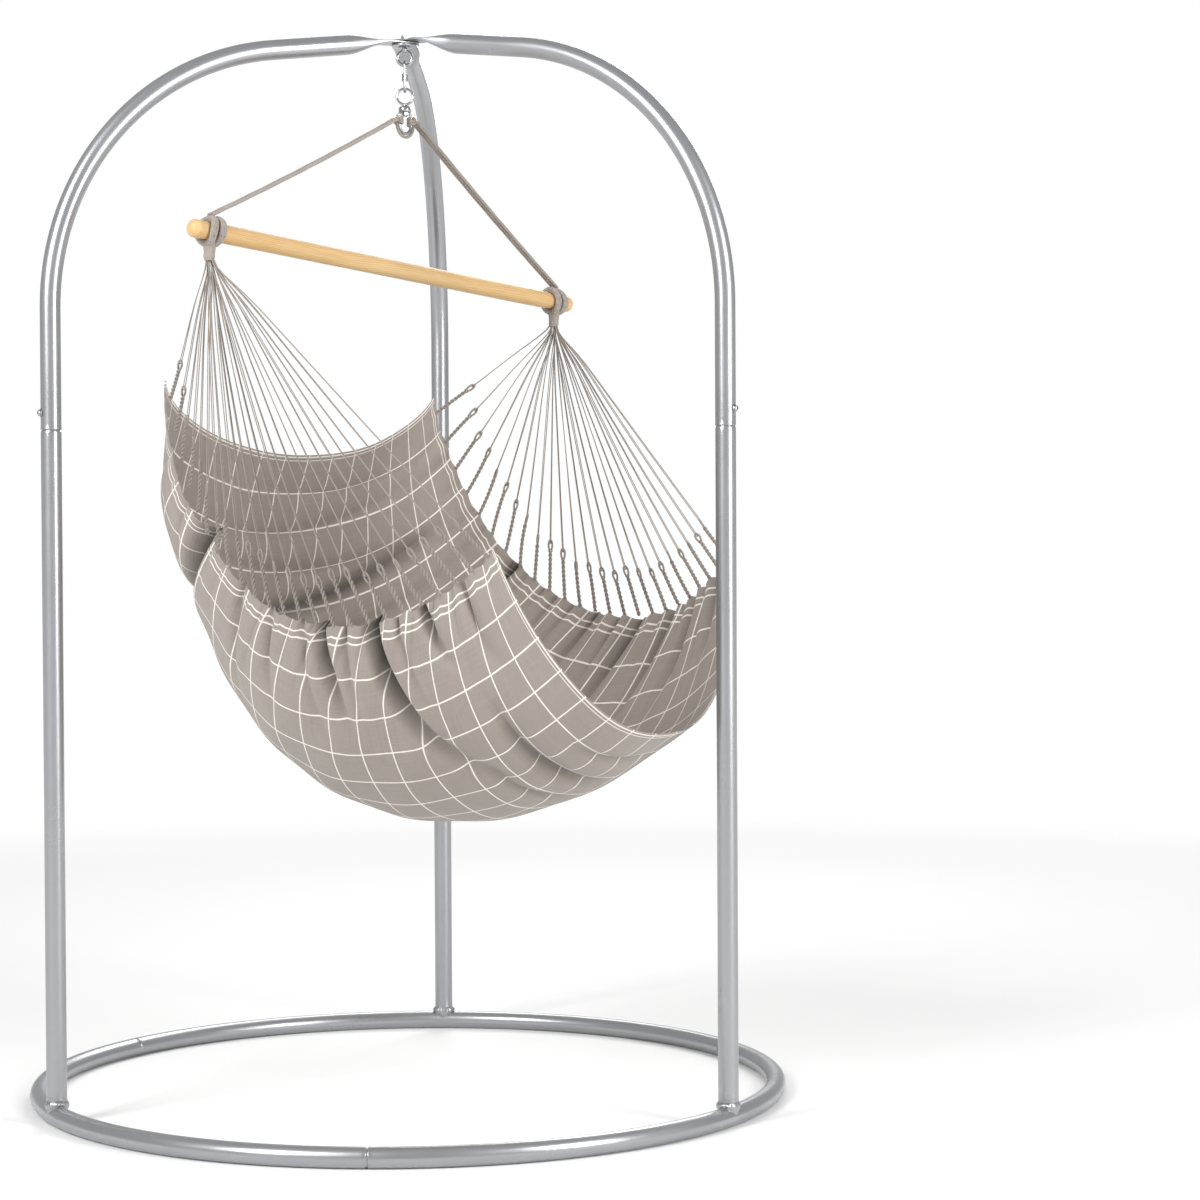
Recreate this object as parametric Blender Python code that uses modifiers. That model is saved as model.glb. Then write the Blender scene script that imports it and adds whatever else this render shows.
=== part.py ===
"""Hanging chair on a three-legged tube stand. Metres, +Z up.

The origin is on the floor at the middle of the base ring, and the rear leg stands at +Y.
The chair is laid out in its own frame: X is the way the sitter faces, Y is the sitter's
left and Z is up, with the plumb line of the eye bolt as its Z axis.
"""

import math

import bmesh
import bpy
from mathutils import Matrix, Vector

# Stand
RING_RADIUS = 0.720  # base ring and legs, to the middle of the tube
HUB_HEIGHT = 2.060  # middle of the three stacked arm ends
TUBE = 0.038  # outside diameter of every tube of the stand
WALL = 0.0015
FIT = 0.0003  # clearance between pieces that touch
TUBE_SIDES = 12
LEG_ANGLES = {"front_right": 330, "front_left": 210, "rear": 90}
ARC_STEP = 6  # degrees between the points of a base arc
PINCH = 0.004  # length of the taper where a tube is swaged down
SWAGE_LENGTH = 0.052  # how far a swaged end reaches into the next tube
SPIGOT_HEIGHT = 0.060
BEAD_HEIGHT = 0.011  # weld bead between a base arc and its leg spigot
BEAD_STAND_OUT = 0.0045
ARM_STRAIGHT = 0.225  # upright part of an arm, below its bend
ARM_BEND = 0.515  # bend radius of an arm
ARM_BEND_ANGLE = 82
PLATE_WIDTH = 0.050  # flattened end of an arm
PLATE_THICKNESS = 0.0042
PLATE_REACH = 0.030  # how far a flattened end passes the middle of the hub
FLAT_RUN = 0.040
FLARE_RUN = 0.085
SCREW_DIAMETER = 0.006
SCREW_RISE = 0.031  # height of a leg screw above the end of the arm
SCREW_LENGTH = 0.016
SCREW_HEAD = 0.012
WASHER_THICKNESS = 0.0016

# Hardware between the stand and the chair
BOLT = 0.008  # eye bolt's shank
NUT_WIDTH = 0.013  # across the flats
NUT_HEIGHT = 0.0065
BOLT_END = 0.002  # thread that shows above its nut
EYE_WIRE = 0.007
EYE_INNER = 0.021
EYE_NECK = 0.002
HANG_TURN = 6  # degrees from +X to the eye bolt's plane
LINK_WIRE = 0.006
LINK_INNER_WIDTH = 0.0134
LINK_INNER_LENGTH = 0.052
LINK_GAP = 0.008  # opening that the sleeve closes
SLEEVE_LENGTH = 0.015
SLEEVE_WIDTH = 0.010
RING_WIRE = 0.005  # swivel's ring
RING_INNER = 0.026
STEM = 0.008  # swivel's stem
BOSS_RADIUS = 0.0125
BOSS_HEIGHT = 0.012
BOW_WIRE = 0.006
BOW_HALF = 0.017  # half the bow's width, to the middle of the wire
BOW_STRAIGHT = 0.014

# Chair
FACING = -35.5  # degrees from +X to the way the sitter faces
BAR_LENGTH = 1.120
BAR_DIAMETER = 0.035
BAR_DROP = 0.306  # swivel stem's nut face down to the middle of the bar
BAR_TILT = 3.5  # degrees, the sitter's right end hangs higher
BAR_SET_BACK = 0.030  # the bar hangs behind the plumb line, the seat ahead of it
LASHING_INSET = 0.052  # bar's end to the middle of the lashing
LASHING_LENGTH = 0.046
LASHING_BUILD = 0.007  # thickness of the lashing's turns on the bar
NECK_LENGTH = 0.029
CORD = 0.006  # suspension cord
CORD_SAG = 0.004
KNOT_RADIUS = 0.010
KNOT_HEIGHT = 0.011
STRINGS = 24  # on each side
STRING_WIDTH = 0.0024
APEX_RADIUS = 0.020  # where the strings leave their whipped neck
LOOP_LENGTH = 0.100
LOOP_WIDTH = 0.007
HEM = 0.006
HEM_GAP = 0.0014
LEG_CLEARANCE = 0.071  # knee edge to a leg, when the chair turns
KNEE_CORNER_BACK = 0.113  # knee edge's corners lie this far behind its middle
HEAD_WIDTH = 0.776  # between the cloth's corners
KNEE_WIDTH = 0.720
SEAT_WIDTH = 0.880
CLOTH = 0.0025
CLOTH_ROWS = 22
CLOTH_COLUMNS = 16

# Worked out from the sizes above
TUBE_R = TUBE / 2
SWAGED_R = TUBE_R - WALL - FIT
FLAT_FACTOR = math.cos(math.pi / TUBE_SIDES)  # flat over corner radius of a tube's section
RING_Z = TUBE_R * FLAT_FACTOR
LEG_FOOT = 2 * RING_Z + BEAD_HEIGHT
PLATE_PITCH = PLATE_THICKNESS + FIT
STACK_HALF = 1.5 * PLATE_THICKNESS + 2 * FIT
SHOULDER = TUBE_R * math.radians(ARC_STEP) + 0.0005  # clears the next arc's slanted rim
ARC_BEND = math.radians(ARM_BEND_ANGLE)
BEND_END_RADIUS = RING_RADIUS - ARM_BEND * (1 - math.cos(ARC_BEND))
BEND_Z = (
    HUB_HEIGHT
    - ARM_BEND * math.sin(ARC_BEND)
    - (BEND_END_RADIUS - FLAT_RUN) / math.tan(ARC_BEND)
)
JOINT_Z = BEND_Z - ARM_STRAIGHT

EYE_R = (EYE_INNER + EYE_WIRE) / 2
EYE_Z = (
    HUB_HEIGHT - STACK_HALF - WASHER_THICKNESS - FIT - EYE_NECK - EYE_R - EYE_WIRE / 2
)
LINK_TOP = EYE_Z - EYE_INNER / 2 + LINK_WIRE / 2 + FIT
LINK_R = (LINK_INNER_WIDTH + LINK_WIRE) / 2
LINK_BOTTOM = LINK_TOP - LINK_INNER_LENGTH - LINK_WIRE
SWIVEL_TOP = LINK_BOTTOM + LINK_WIRE / 2 + RING_WIRE / 2 + FIT
SWIVEL_R = (RING_INNER + RING_WIRE) / 2
SWIVEL_Z = SWIVEL_TOP - SWIVEL_R
BOSS_TOP = SWIVEL_Z - SWIVEL_R - RING_WIRE / 2 - FIT
BOSS_BOTTOM = BOSS_TOP - BOSS_HEIGHT
BOW_TOP = (BOSS_TOP + BOSS_BOTTOM) / 2
BOW_ARC_Z = BOW_TOP - BOW_HALF
KNOT_Z = BOW_ARC_Z - BOW_STRAIGHT / 2

BAR_Z = BOSS_BOTTOM - BAR_DROP
LASHING_Y = BAR_LENGTH / 2 - LASHING_INSET
LASHING_R = BAR_DIAMETER / 2 + LASHING_BUILD
KNEE_X = RING_RADIUS - TUBE_R - LEG_CLEARANCE


def chair_z(drop):
    """Height of a point that hangs this far below the middle of the bar."""
    return BAR_Z - drop


HEAD_CORNER = Vector((-0.265, chair_z(0.227)))
KNEE_CORNER = Vector((KNEE_X - KNEE_CORNER_BACK, chair_z(0.551)))
SIDE_EDGE = (HEAD_CORNER, Vector((-0.140, chair_z(0.770))),
             Vector((0.340, chair_z(0.770))), KNEE_CORNER)
MIDDLE_LINE = (Vector((-0.295, chair_z(0.361))), Vector((-0.560, chair_z(1.010))),
               Vector((0.070, chair_z(1.300))), Vector((KNEE_X, chair_z(0.896))))

parts = bpy.data.collections.new("hanging_chair_on_stand")
cutters = bpy.data.collections.new("cutters")


def clear_scene():
    for item in list(bpy.data.objects):
        bpy.data.objects.remove(item, do_unlink=True)
    bpy.context.scene.collection.children.link(parts)
    bpy.context.scene.collection.children.link(cutters)


def make_material(name, colour, roughness, metallic):
    made = bpy.data.materials.new(name)
    made.use_nodes = True
    shader = made.node_tree.nodes["Principled BSDF"]
    shader.inputs["Base Color"].default_value = (*colour, 1)
    shader.inputs["Roughness"].default_value = roughness
    shader.inputs["Metallic"].default_value = metallic
    return made


COATED = make_material("silver_powder_coat", (0.56, 0.56, 0.57), 0.38, 0.7)
ZINC = make_material("zinc_plated_steel", (0.66, 0.66, 0.67), 0.3, 1.0)
PINE = make_material("oiled_pine", (0.80, 0.58, 0.33), 0.5, 0.0)
ROPE = make_material("taupe_cord", (0.40, 0.36, 0.33), 0.9, 0.0)
CANVAS = make_material("taupe_cotton", (0.38, 0.34, 0.31), 0.9, 0.0)


def add_object(name, data, material, turn=0.0, collection=parts):
    """Put data in the scene as one named part, turned about the plumb line."""
    made = bpy.data.objects.new(name, data)
    made.rotation_euler.z = math.radians(turn)
    if material:
        data.materials.append(material)
    collection.objects.link(made)
    return made


def mesh_of(work, name):
    mesh = bpy.data.meshes.new(name)
    work.to_mesh(mesh)
    work.free()
    return mesh


def shade(thing, angle=35):
    thing.data.shade_smooth()
    thing.data.set_sharp_from_angle(angle=math.radians(angle))
    return thing


def turned(name, profile, material, sides=TUBE_SIDES, turn=0.0, collection=parts):
    """Solid of a closed profile of (radius, height) points, turned about Z.

    The points run down the outer side and up the inner side.
    """
    work = bmesh.new()
    corners = [work.verts.new((radius, 0, height)) for radius, height in profile]
    for start, end in zip(corners, corners[1:]):
        work.edges.new((start, end))
    if profile[0][0] > 0:
        work.edges.new((corners[-1], corners[0]))
    made = add_object(name, mesh_of(work, name), material, turn, collection)
    screw = made.modifiers.new("turn", "SCREW")
    screw.axis = "Z"
    screw.steps = screw.render_steps = sides
    screw.use_merge_vertices = True
    screw.merge_threshold = 0.00001
    screw.use_smooth_shade = True
    return made


def curve_mesh(name, points, radius, sides, cyclic=False, radii=None, tilt=0.0,
               caps=True, turn=0.0, z_up=False):
    """Mesh of a wire of that radius along the points, with 2 * n + 4 sides."""
    line = bpy.data.curves.new(name, "CURVE")
    line.dimensions = "3D"
    line.twist_mode = "Z_UP" if z_up else "MINIMUM"
    line.bevel_depth = radius
    line.bevel_resolution = (sides - 4) // 2
    line.render_resolution_u = 0
    line.use_fill_caps = caps and not cyclic
    spline = line.splines.new("POLY")
    spline.points.add(len(points) - 1)
    for index, (spot, place) in enumerate(zip(spline.points, points)):
        spot.co = (*place, 1)
        spot.tilt = tilt
        spot.radius = radii[index] / radius if radii else 1.0
    spline.use_cyclic_u = cyclic
    guide = bpy.data.objects.new(name, line)
    cutters.objects.link(guide)
    view = bpy.context.evaluated_depsgraph_get()
    mesh = bpy.data.meshes.new_from_object(guide.evaluated_get(view))
    bpy.data.objects.remove(guide, do_unlink=True)
    work = bmesh.new()
    work.from_mesh(mesh)
    bpy.data.meshes.remove(mesh)
    bmesh.ops.remove_doubles(work, verts=work.verts, dist=0.00001)
    bmesh.ops.rotate(work, verts=work.verts, cent=(0, 0, 0),
                     matrix=Matrix.Rotation(math.radians(turn), 3, "Z"))
    bmesh.ops.recalc_face_normals(work, faces=work.faces)
    return mesh_of(work, name)


def as_cutter(thing):
    thing.hide_render = True
    thing.display_type = "WIRE"
    return thing


def combine(target, tool, operation="DIFFERENCE"):
    step = target.modifiers.new(tool.name, "BOOLEAN")
    step.operation = operation
    step.object = as_cutter(tool)
    return target


def drill(name, radius, start, end):
    """Cutter along the straight line from start to end."""
    work = bmesh.new()
    start, end = Vector(start), Vector(end)
    bmesh.ops.create_cone(work, cap_ends=True, segments=TUBE_SIDES, radius1=radius,
                          radius2=radius, depth=(end - start).length)
    turn = (end - start).to_track_quat("Z", "Y").to_matrix().to_4x4()
    bmesh.ops.transform(work, verts=work.verts, matrix=turn)
    bmesh.ops.translate(work, verts=work.verts, vec=(start + end) / 2)
    return as_cutter(add_object(name, mesh_of(work, name), None, collection=cutters))


def polar(radius, degrees, height=0.0):
    angle = math.radians(degrees)
    return Vector((radius * math.cos(angle), radius * math.sin(angle), height))


def bezier(points, share):
    rest = 1 - share
    return (points[0] * rest ** 3 + points[1] * 3 * rest ** 2 * share
            + points[2] * 3 * rest * share ** 2 + points[3] * share ** 3)


# ---- Stand ----


def base_arc(name, leg_angle):
    """A third of the base ring, its far end swaged to enter the next arc."""
    half = 60
    degrees = range(leg_angle - half, leg_angle + half, ARC_STEP)
    points = [polar(RING_RADIUS, angle, RING_Z) for angle in degrees]
    before, joint, beyond = (
        polar(RING_RADIUS, leg_angle + half + step, RING_Z) for step in (-ARC_STEP, 0, ARC_STEP)
    )
    back = (before - joint).normalized()
    radii = [TUBE_R] * len(points) + [TUBE_R] + [SWAGED_R] * 3
    points += [joint + back * (SHOULDER + PINCH), joint + back * SHOULDER, joint]
    points.append(joint + (beyond - joint).normalized() * SWAGE_LENGTH)
    mesh = curve_mesh(name, points, TUBE_R, TUBE_SIDES, radii=radii, caps=False,
                      tilt=math.pi / TUBE_SIDES, z_up=True)
    made = add_object(name, mesh, COATED)
    wall = made.modifiers.new("wall", "SOLIDIFY")
    wall.thickness = WALL
    wall.offset = -1
    return shade(made)


def place_at_leg(made, angle):
    made.location = polar(RING_RADIUS, angle)
    made.rotation_euler.z = math.radians(angle)
    return made


def leg_spigot(name, angle):
    """Short tube with its weld bead, saddled over the base ring."""
    saddle = [polar(RING_RADIUS, angle + step * ARC_STEP, RING_Z) for step in (-1, 0, 1)]
    mesh = curve_mesh(name + "_saddle", saddle, TUBE_R + FIT, TUBE_SIDES,
                      tilt=math.pi / TUBE_SIDES, z_up=True)
    cutter = add_object(name + "_saddle", mesh, None, collection=cutters)
    crown = 2 * RING_Z
    bead = TUBE_R + BEAD_STAND_OUT
    profile = [
        (SWAGED_R - 0.001, crown + SPIGOT_HEIGHT), (SWAGED_R, crown + SPIGOT_HEIGHT - 0.001),
        (SWAGED_R, crown + BEAD_HEIGHT - FIT), (TUBE_R, crown + BEAD_HEIGHT - FIT),
        (bead, crown + BEAD_HEIGHT / 2), (bead, crown - BEAD_HEIGHT / 2),
        (TUBE_R, crown - BEAD_HEIGHT), (SWAGED_R - 2 * WALL, crown - BEAD_HEIGHT),
        (SWAGED_R - 2 * WALL, crown + SPIGOT_HEIGHT),
    ]
    made = place_at_leg(turned(name, profile, COATED), angle)
    return combine(made, cutter)


def lower_leg(name, angle):
    """Straight tube, its top end swaged to enter the arm."""
    shoulder = JOINT_Z - 0.0008
    top = JOINT_Z + SWAGE_LENGTH
    profile = [
        (SWAGED_R, top), (SWAGED_R, shoulder), (TUBE_R, shoulder - PINCH), (TUBE_R, LEG_FOOT),
        (TUBE_R - WALL, LEG_FOOT), (TUBE_R - WALL, shoulder - PINCH - WALL),
        (SWAGED_R - WALL, shoulder - WALL), (SWAGED_R - WALL, top),
    ]
    return place_at_leg(turned(name, profile, COATED), angle)


def section(centre, normal, side, width, height, squareness):
    """Closed superellipse of TUBE_SIDES points, round when squareness is 2."""
    ring = []
    for index in range(TUBE_SIDES):
        angle = 2 * math.pi * index / TUBE_SIDES
        across, up = math.cos(angle), math.sin(angle)
        across = math.copysign(abs(across) ** (2 / squareness), across)
        up = math.copysign(abs(up) ** (2 / squareness), up)
        ring.append(centre + side * across * width + normal * up * height)
    return ring


def arm_stations(level):
    """Stations up an arm: (radius, height, slope, flatness, width share)."""
    stations = [(RING_RADIUS, JOINT_Z, 0.0, 0.0, 1.0), (RING_RADIUS, BEND_Z, 0.0, 0.0, 1.0)]
    steps = 8
    for step in range(1, steps + 1):
        slope = ARC_BEND * step / steps
        stations.append((RING_RADIUS - ARM_BEND * (1 - math.cos(slope)),
                         BEND_Z + ARM_BEND * math.sin(slope), slope, 0.0, 1.0))
    end_radius, end_z = stations[-1][:2]
    run = end_radius - FLAT_RUN
    for share, flatness in ((0.0, 0.0), (0.35, 0.3), (0.7, 0.75), (1.0, 1.0)):
        radius = FLAT_RUN + FLARE_RUN * (1 - share)
        height = level - (level - end_z) * (radius - FLAT_RUN) / run
        stations.append((radius, height, ARC_BEND + (math.pi / 2 - ARC_BEND) * share,
                         flatness, 1.0))
    half = PLATE_WIDTH / 2
    for inset in (0.75, 0.35, 0.08):
        share = math.sqrt(1 - (1 - inset) ** 2)
        stations.append((-PLATE_REACH + inset * half, level, math.pi / 2, 1.0, share))
    return stations


def arm(name, angle, level):
    """Bent upper tube whose inner end is pressed flat and drilled."""
    radial, side = polar(1, angle), polar(1, angle + 90)
    up = Vector((0, 0, 1))
    outer, inner = [], []
    for radius, height, slope, flatness, share in arm_stations(level):
        centre = radial * radius + up * height
        normal = radial * math.cos(slope) + up * math.sin(slope)
        width = (TUBE_R + (PLATE_WIDTH / 2 - TUBE_R) * flatness) * share
        depth = TUBE_R + (PLATE_THICKNESS / 2 - TUBE_R) * flatness
        squareness = 2 + 3 * flatness
        outer.append(section(centre, normal, side, width, depth, squareness))
        inner.append(section(centre, normal, side, width - WALL, depth - WALL, squareness))
    rings = outer + inner[::-1]
    work = bmesh.new()
    loops = [[work.verts.new(place) for place in ring] for ring in rings]
    for index, ring in enumerate(loops):
        after = loops[(index + 1) % len(loops)]
        for corner in range(TUBE_SIDES):
            follow = (corner + 1) % TUBE_SIDES
            work.faces.new((ring[corner], ring[follow], after[follow], after[corner]))
    bmesh.ops.recalc_face_normals(work, faces=work.faces)
    made = shade(add_object(name, mesh_of(work, name), COATED))
    reach = PLATE_PITCH * 2
    bolt_hole = drill(name + "_bolt_hole", BOLT / 2 + FIT, (0, 0, level - reach),
                      (0, 0, level + reach))
    return combine(made, bolt_hole)


def leg_screw(name, angle):
    """Domed screw that pins the arm to the leg, lying along the leg's radius."""
    seat = TUBE_R + FIT + WASHER_THICKNESS + FIT
    head = SCREW_HEAD / 2
    shank = SCREW_DIAMETER / 2
    profile = [(0, seat + 0.0052), (head * 0.55, seat + 0.0046), (head * 0.9, seat + 0.0028),
               (head, seat + 0.0008), (head, seat), (shank, seat), (shank, seat - SCREW_LENGTH),
               (0, seat - SCREW_LENGTH)]
    screw = turned(name, profile, ZINC)
    under = washer(name.replace("screw", "washer"), SCREW_HEAD * 0.64, shank + FIT,
                   TUBE_R + FIT, seat - FIT)
    for made in (screw, under):
        made.location = polar(RING_RADIUS, angle, JOINT_Z + SCREW_RISE)
        made.rotation_euler = (0, math.radians(90), math.radians(angle))


def drill_for_screw(made, name, angle):
    height = JOINT_Z + SCREW_RISE
    hole = drill(name, SCREW_DIAMETER / 2 + FIT, polar(RING_RADIUS, angle, height),
                 polar(RING_RADIUS + TUBE, angle, height))
    combine(made, hole)


def stand():
    levels = {"front_right": 1, "front_left": 0, "rear": -1}
    for place, angle in LEG_ANGLES.items():
        base_arc("base_arc_" + place, angle)
        leg_spigot("leg_spigot_" + place, angle)
        leg = lower_leg("lower_leg_" + place, angle)
        drill_for_screw(leg, "leg_hole_" + place, angle)
        bent = arm("arm_" + place, angle, HUB_HEIGHT + levels[place] * PLATE_PITCH)
        drill_for_screw(bent, "arm_hole_" + place, angle)
        leg_screw("leg_screw_" + place, angle)


# ---- Hardware ----


def washer(name, outer, bore, low, high):
    profile = [(outer, high), (outer, low), (bore, low), (bore, high)]
    return turned(name, profile, ZINC)


def hex_nut(name, across_flats, bore, low, high):
    """Hexagon about Z whose bore clears a circle of the bore's radius."""
    corner = across_flats / 2 / math.cos(math.pi / 6)
    hole = bore / math.cos(math.pi / 6)
    profile = [(corner, high), (corner, low), (hole, low), (hole, high)]
    made = turned(name, profile, ZINC, sides=6)
    made.modifiers["turn"].use_smooth_shade = False
    return made


def torus_mesh(name, radius, wire, height, turn, segments=20, sides=8):
    """Ring of wire standing upright, its plane turned about the plumb line."""
    points = [Vector((radius * math.sin(2 * math.pi * step / segments), 0,
                      height + radius * math.cos(2 * math.pi * step / segments)))
              for step in range(segments)]
    return curve_mesh(name, points, wire / 2, sides, cyclic=True, turn=turn)


def eye_bolt():
    top = HUB_HEIGHT + STACK_HALF + WASHER_THICKNESS + FIT
    nut_low = top + FIT
    end = nut_low + NUT_HEIGHT + BOLT_END
    made = add_object("eye_bolt", torus_mesh("eye_bolt", EYE_R, EYE_WIRE, EYE_Z, HANG_TURN), ZINC)
    shank = drill("eye_bolt_shank", BOLT / 2, (0, 0, EYE_Z + EYE_R), (0, 0, end))
    combine(made, shank, "UNION")
    bore = BOLT / 2 + FIT
    wide = BOLT * 1.5
    washer("hub_washer_top", wide, bore, HUB_HEIGHT + STACK_HALF, top)
    low = HUB_HEIGHT - STACK_HALF
    washer("hub_washer_bottom", wide, bore, low - WASHER_THICKNESS, low)
    hex_nut("hub_nut", NUT_WIDTH, bore, nut_low, nut_low + NUT_HEIGHT)


def link_points():
    """Stadium from the lower lip of the gap, round the bottom, to the upper lip."""
    middle = (LINK_TOP + LINK_BOTTOM) / 2
    half = (LINK_TOP - LINK_BOTTOM) / 2 - LINK_R
    points = [Vector((LINK_R, 0, middle - LINK_GAP / 2))]
    for centre, start in ((middle - half, 0), (middle + half, 180)):
        for step in range(9):
            angle = math.radians(start - 22.5 * step)
            points.append(Vector((LINK_R * math.cos(angle), 0, centre + LINK_R * math.sin(angle))))
    points.append(Vector((LINK_R, 0, middle + LINK_GAP / 2)))
    return points


def link():
    mesh = curve_mesh("link_body", link_points(), LINK_WIRE / 2, 8, turn=HANG_TURN + 90)
    add_object("link_body", mesh, ZINC)
    middle = (LINK_TOP + LINK_BOTTOM) / 2
    sleeve = hex_nut("link_sleeve", SLEEVE_WIDTH, LINK_WIRE / 2 + FIT,
                     middle - SLEEVE_LENGTH / 2, middle + SLEEVE_LENGTH / 2)
    sleeve.location = polar(LINK_R, HANG_TURN + 90)
    sleeve.rotation_euler.z = math.radians(HANG_TURN + 90)


def swivel_eye():
    """Ring with the stem that turns in the bow's boss, and the nut that keeps it there."""
    mesh = torus_mesh("swivel_eye", SWIVEL_R, RING_WIRE, SWIVEL_Z, HANG_TURN)
    made = add_object("swivel_eye", mesh, ZINC)
    nut_high = BOSS_BOTTOM - FIT
    stem = drill("swivel_stem", STEM / 2, (0, 0, nut_high - NUT_HEIGHT - BOLT_END),
                 (0, 0, SWIVEL_Z - SWIVEL_R))
    combine(made, stem, "UNION")
    hex_nut("swivel_nut", NUT_WIDTH, STEM / 2 + FIT, nut_high - NUT_HEIGHT, nut_high)


def swivel_bow():
    """Closed bow with a domed boss at its top, bored for the stem."""
    points = []
    for centre, start in ((BOW_ARC_Z, 0), (BOW_ARC_Z - BOW_STRAIGHT, 180)):
        for step in range(9):
            angle = math.radians(start + 22.5 * step)
            points.append(Vector((0, BOW_HALF * math.cos(angle),
                                  centre + BOW_HALF * math.sin(angle))))
    mesh = curve_mesh("swivel_bow", points, BOW_WIRE / 2, 8, cyclic=True, turn=FACING)
    made = add_object("swivel_bow", mesh, ZINC)
    dome = BOSS_RADIUS
    profile = [(0, BOSS_TOP), (dome * 0.5, BOSS_TOP - 0.0006), (dome * 0.87, BOSS_TOP - 0.003),
               (dome, BOSS_TOP - 0.007), (dome * 0.95, BOSS_BOTTOM), (0, BOSS_BOTTOM)]
    combine(made, turned("swivel_boss", profile, None, collection=cutters), "UNION")
    combine(made, drill("swivel_bore", STEM / 2 + FIT, (0, 0, BOSS_BOTTOM - STEM),
                        (0, 0, BOSS_TOP + STEM)))


# ---- Chair ----


def bar_point(along, rise=0.0):
    """Point in the chair's frame, along the tilted bar and square above it."""
    tilt = math.radians(BAR_TILT)
    return Vector((-BAR_SET_BACK, along * math.cos(tilt) + rise * math.sin(tilt),
                   BAR_Z - along * math.sin(tilt) + rise * math.cos(tilt)))


def lay_on_bar(made, along):
    """Turn a piece made about Z onto the bar's axis."""
    made.location = bar_point(along)
    made.location.rotate(Matrix.Rotation(math.radians(FACING), 3, "Z"))
    made.rotation_euler = (math.radians(-90 - BAR_TILT), 0, math.radians(FACING))
    return made


def spreader_bar():
    radius, half = BAR_DIAMETER / 2, BAR_LENGTH / 2
    dome = [(radius * math.sin(angle), radius * 0.8 * math.cos(angle))
            for angle in (0, math.pi / 6, math.pi / 3, math.pi / 2)]
    shoulder = half - radius * 0.8
    profile = [(out, shoulder + rise) for out, rise in dome]
    profile += [(out, -shoulder - rise) for out, rise in dome[::-1]]
    lay_on_bar(turned("spreader_bar", profile, PINE, sides=16), 0)


def lashing(side, sign):
    """Turns of cord on the bar's end, as one bulging sleeve."""
    bore = BAR_DIAMETER / 2 + FIT
    half = LASHING_LENGTH / 2
    profile = [(bore + 0.002, half), (LASHING_R, half * 0.6), (LASHING_R, -half * 0.6),
               (bore + 0.002, -half), (bore, -half), (bore, half)]
    lay_on_bar(turned("lashing_" + side, profile, ROPE, sides=16), sign * LASHING_Y)


def suspension(side, sign):
    """Knot on the bow, and the three cords from it to the lashing."""
    bore = BOW_WIRE / 2 + FIT
    half = KNOT_HEIGHT / 2
    profile = [(bore + 0.002, half), (KNOT_RADIUS, half * 0.4), (KNOT_RADIUS, -half * 0.4),
               (bore + 0.002, -half), (bore, -half), (bore, half)]
    knot = turned("bow_knot_" + side, profile, ROPE, turn=FACING)
    knot.location = polar(BOW_HALF, FACING + 90 * sign, KNOT_Z)
    for strand, across in (("front", 1), ("middle", 0), ("back", -1)):
        offset = Vector((across * (CORD + FIT), 0, 0))
        start = Vector((0, sign * (BOW_HALF + KNOT_RADIUS + CORD / 2 + FIT), KNOT_Z)) + offset
        end = bar_point(sign * LASHING_Y, LASHING_R + CORD) + offset
        steps = 10
        points = []
        for step in range(steps + 1):
            share = step / steps
            sag = Vector((0, 0, -4 * CORD_SAG * share * (1 - share)))
            points.append(start.lerp(end, share) + sag)
        name = f"suspension_cord_{side}_{strand}"
        add_object(name, curve_mesh(name, points, CORD / 2, 8, turn=FACING), ROPE)


def bridge_cord():
    """Cord that runs from knot to knot under the bow."""
    low = BOW_ARC_Z - BOW_STRAIGHT - BOW_HALF - BOW_WIRE / 2 - CORD / 2 - 0.001
    high = KNOT_Z - KNOT_HEIGHT / 2 - 0.001
    reach = BOW_HALF + BOW_WIRE / 2 + CORD / 2 + 0.001
    points = []
    steps = 12
    for step in range(steps + 1):
        angle = math.pi * (1 + step / steps)
        points.append(Vector((0, reach * math.cos(angle), high + (high - low) * math.sin(angle))))
    add_object("bridge_cord", curve_mesh("bridge_cord", points, CORD / 2, 8, turn=FACING), ROPE)


def cloth_width(share):
    """Half width between the side edges, from the head at 0 to the knees at 1."""
    ends = HEAD_WIDTH + (KNEE_WIDTH - HEAD_WIDTH) * share
    return (ends + (SEAT_WIDTH - ends) * math.sin(math.pi * share)) / 2


def edge_point(share, sign):
    flat = bezier(SIDE_EDGE, share)
    return Vector((flat.x, sign * cloth_width(share), flat.y))


def cloth_point(share, across):
    """Hung cloth: from one side edge, across = -1, down to its middle and up again."""
    edge = bezier(SIDE_EDGE, share)
    middle = bezier(MIDDLE_LINE, share)
    turn = math.pi / 2 * across
    swing = 0.65 * math.sin(turn) + 0.35 * across
    climb = 0.65 * (1 - math.cos(turn)) + 0.35 * across ** 2
    flat = middle + (edge - middle) * climb
    return Vector((flat.x, cloth_width(share) * swing, flat.y))


def seat_cloth():
    work = bmesh.new()
    bmesh.ops.create_grid(work, x_segments=CLOTH_ROWS, y_segments=CLOTH_COLUMNS, size=0.5)
    for corner in work.verts:
        corner.co = cloth_point(corner.co.x + 0.5, corner.co.y * 2)
    made = shade(add_object("seat_cloth", mesh_of(work, "seat_cloth"), CANVAS, FACING))
    wall = made.modifiers.new("cloth", "SOLIDIFY")
    wall.thickness = CLOTH
    wall.offset = 0


def apex(sign):
    return bar_point(sign * LASHING_Y, -LASHING_R - NECK_LENGTH)


def loop_frame(share, sign):
    """Hem's middle, the way along the edge and the way to the apex."""
    place = edge_point(share, sign)
    step = 0.01
    along = (edge_point(share + step, sign) - edge_point(share - step, sign)).normalized()
    pull = apex(sign) - place
    pull = (pull - along * pull.dot(along)).normalized()
    return place + pull * (HEM / 2 + HEM_GAP), along, pull


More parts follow.
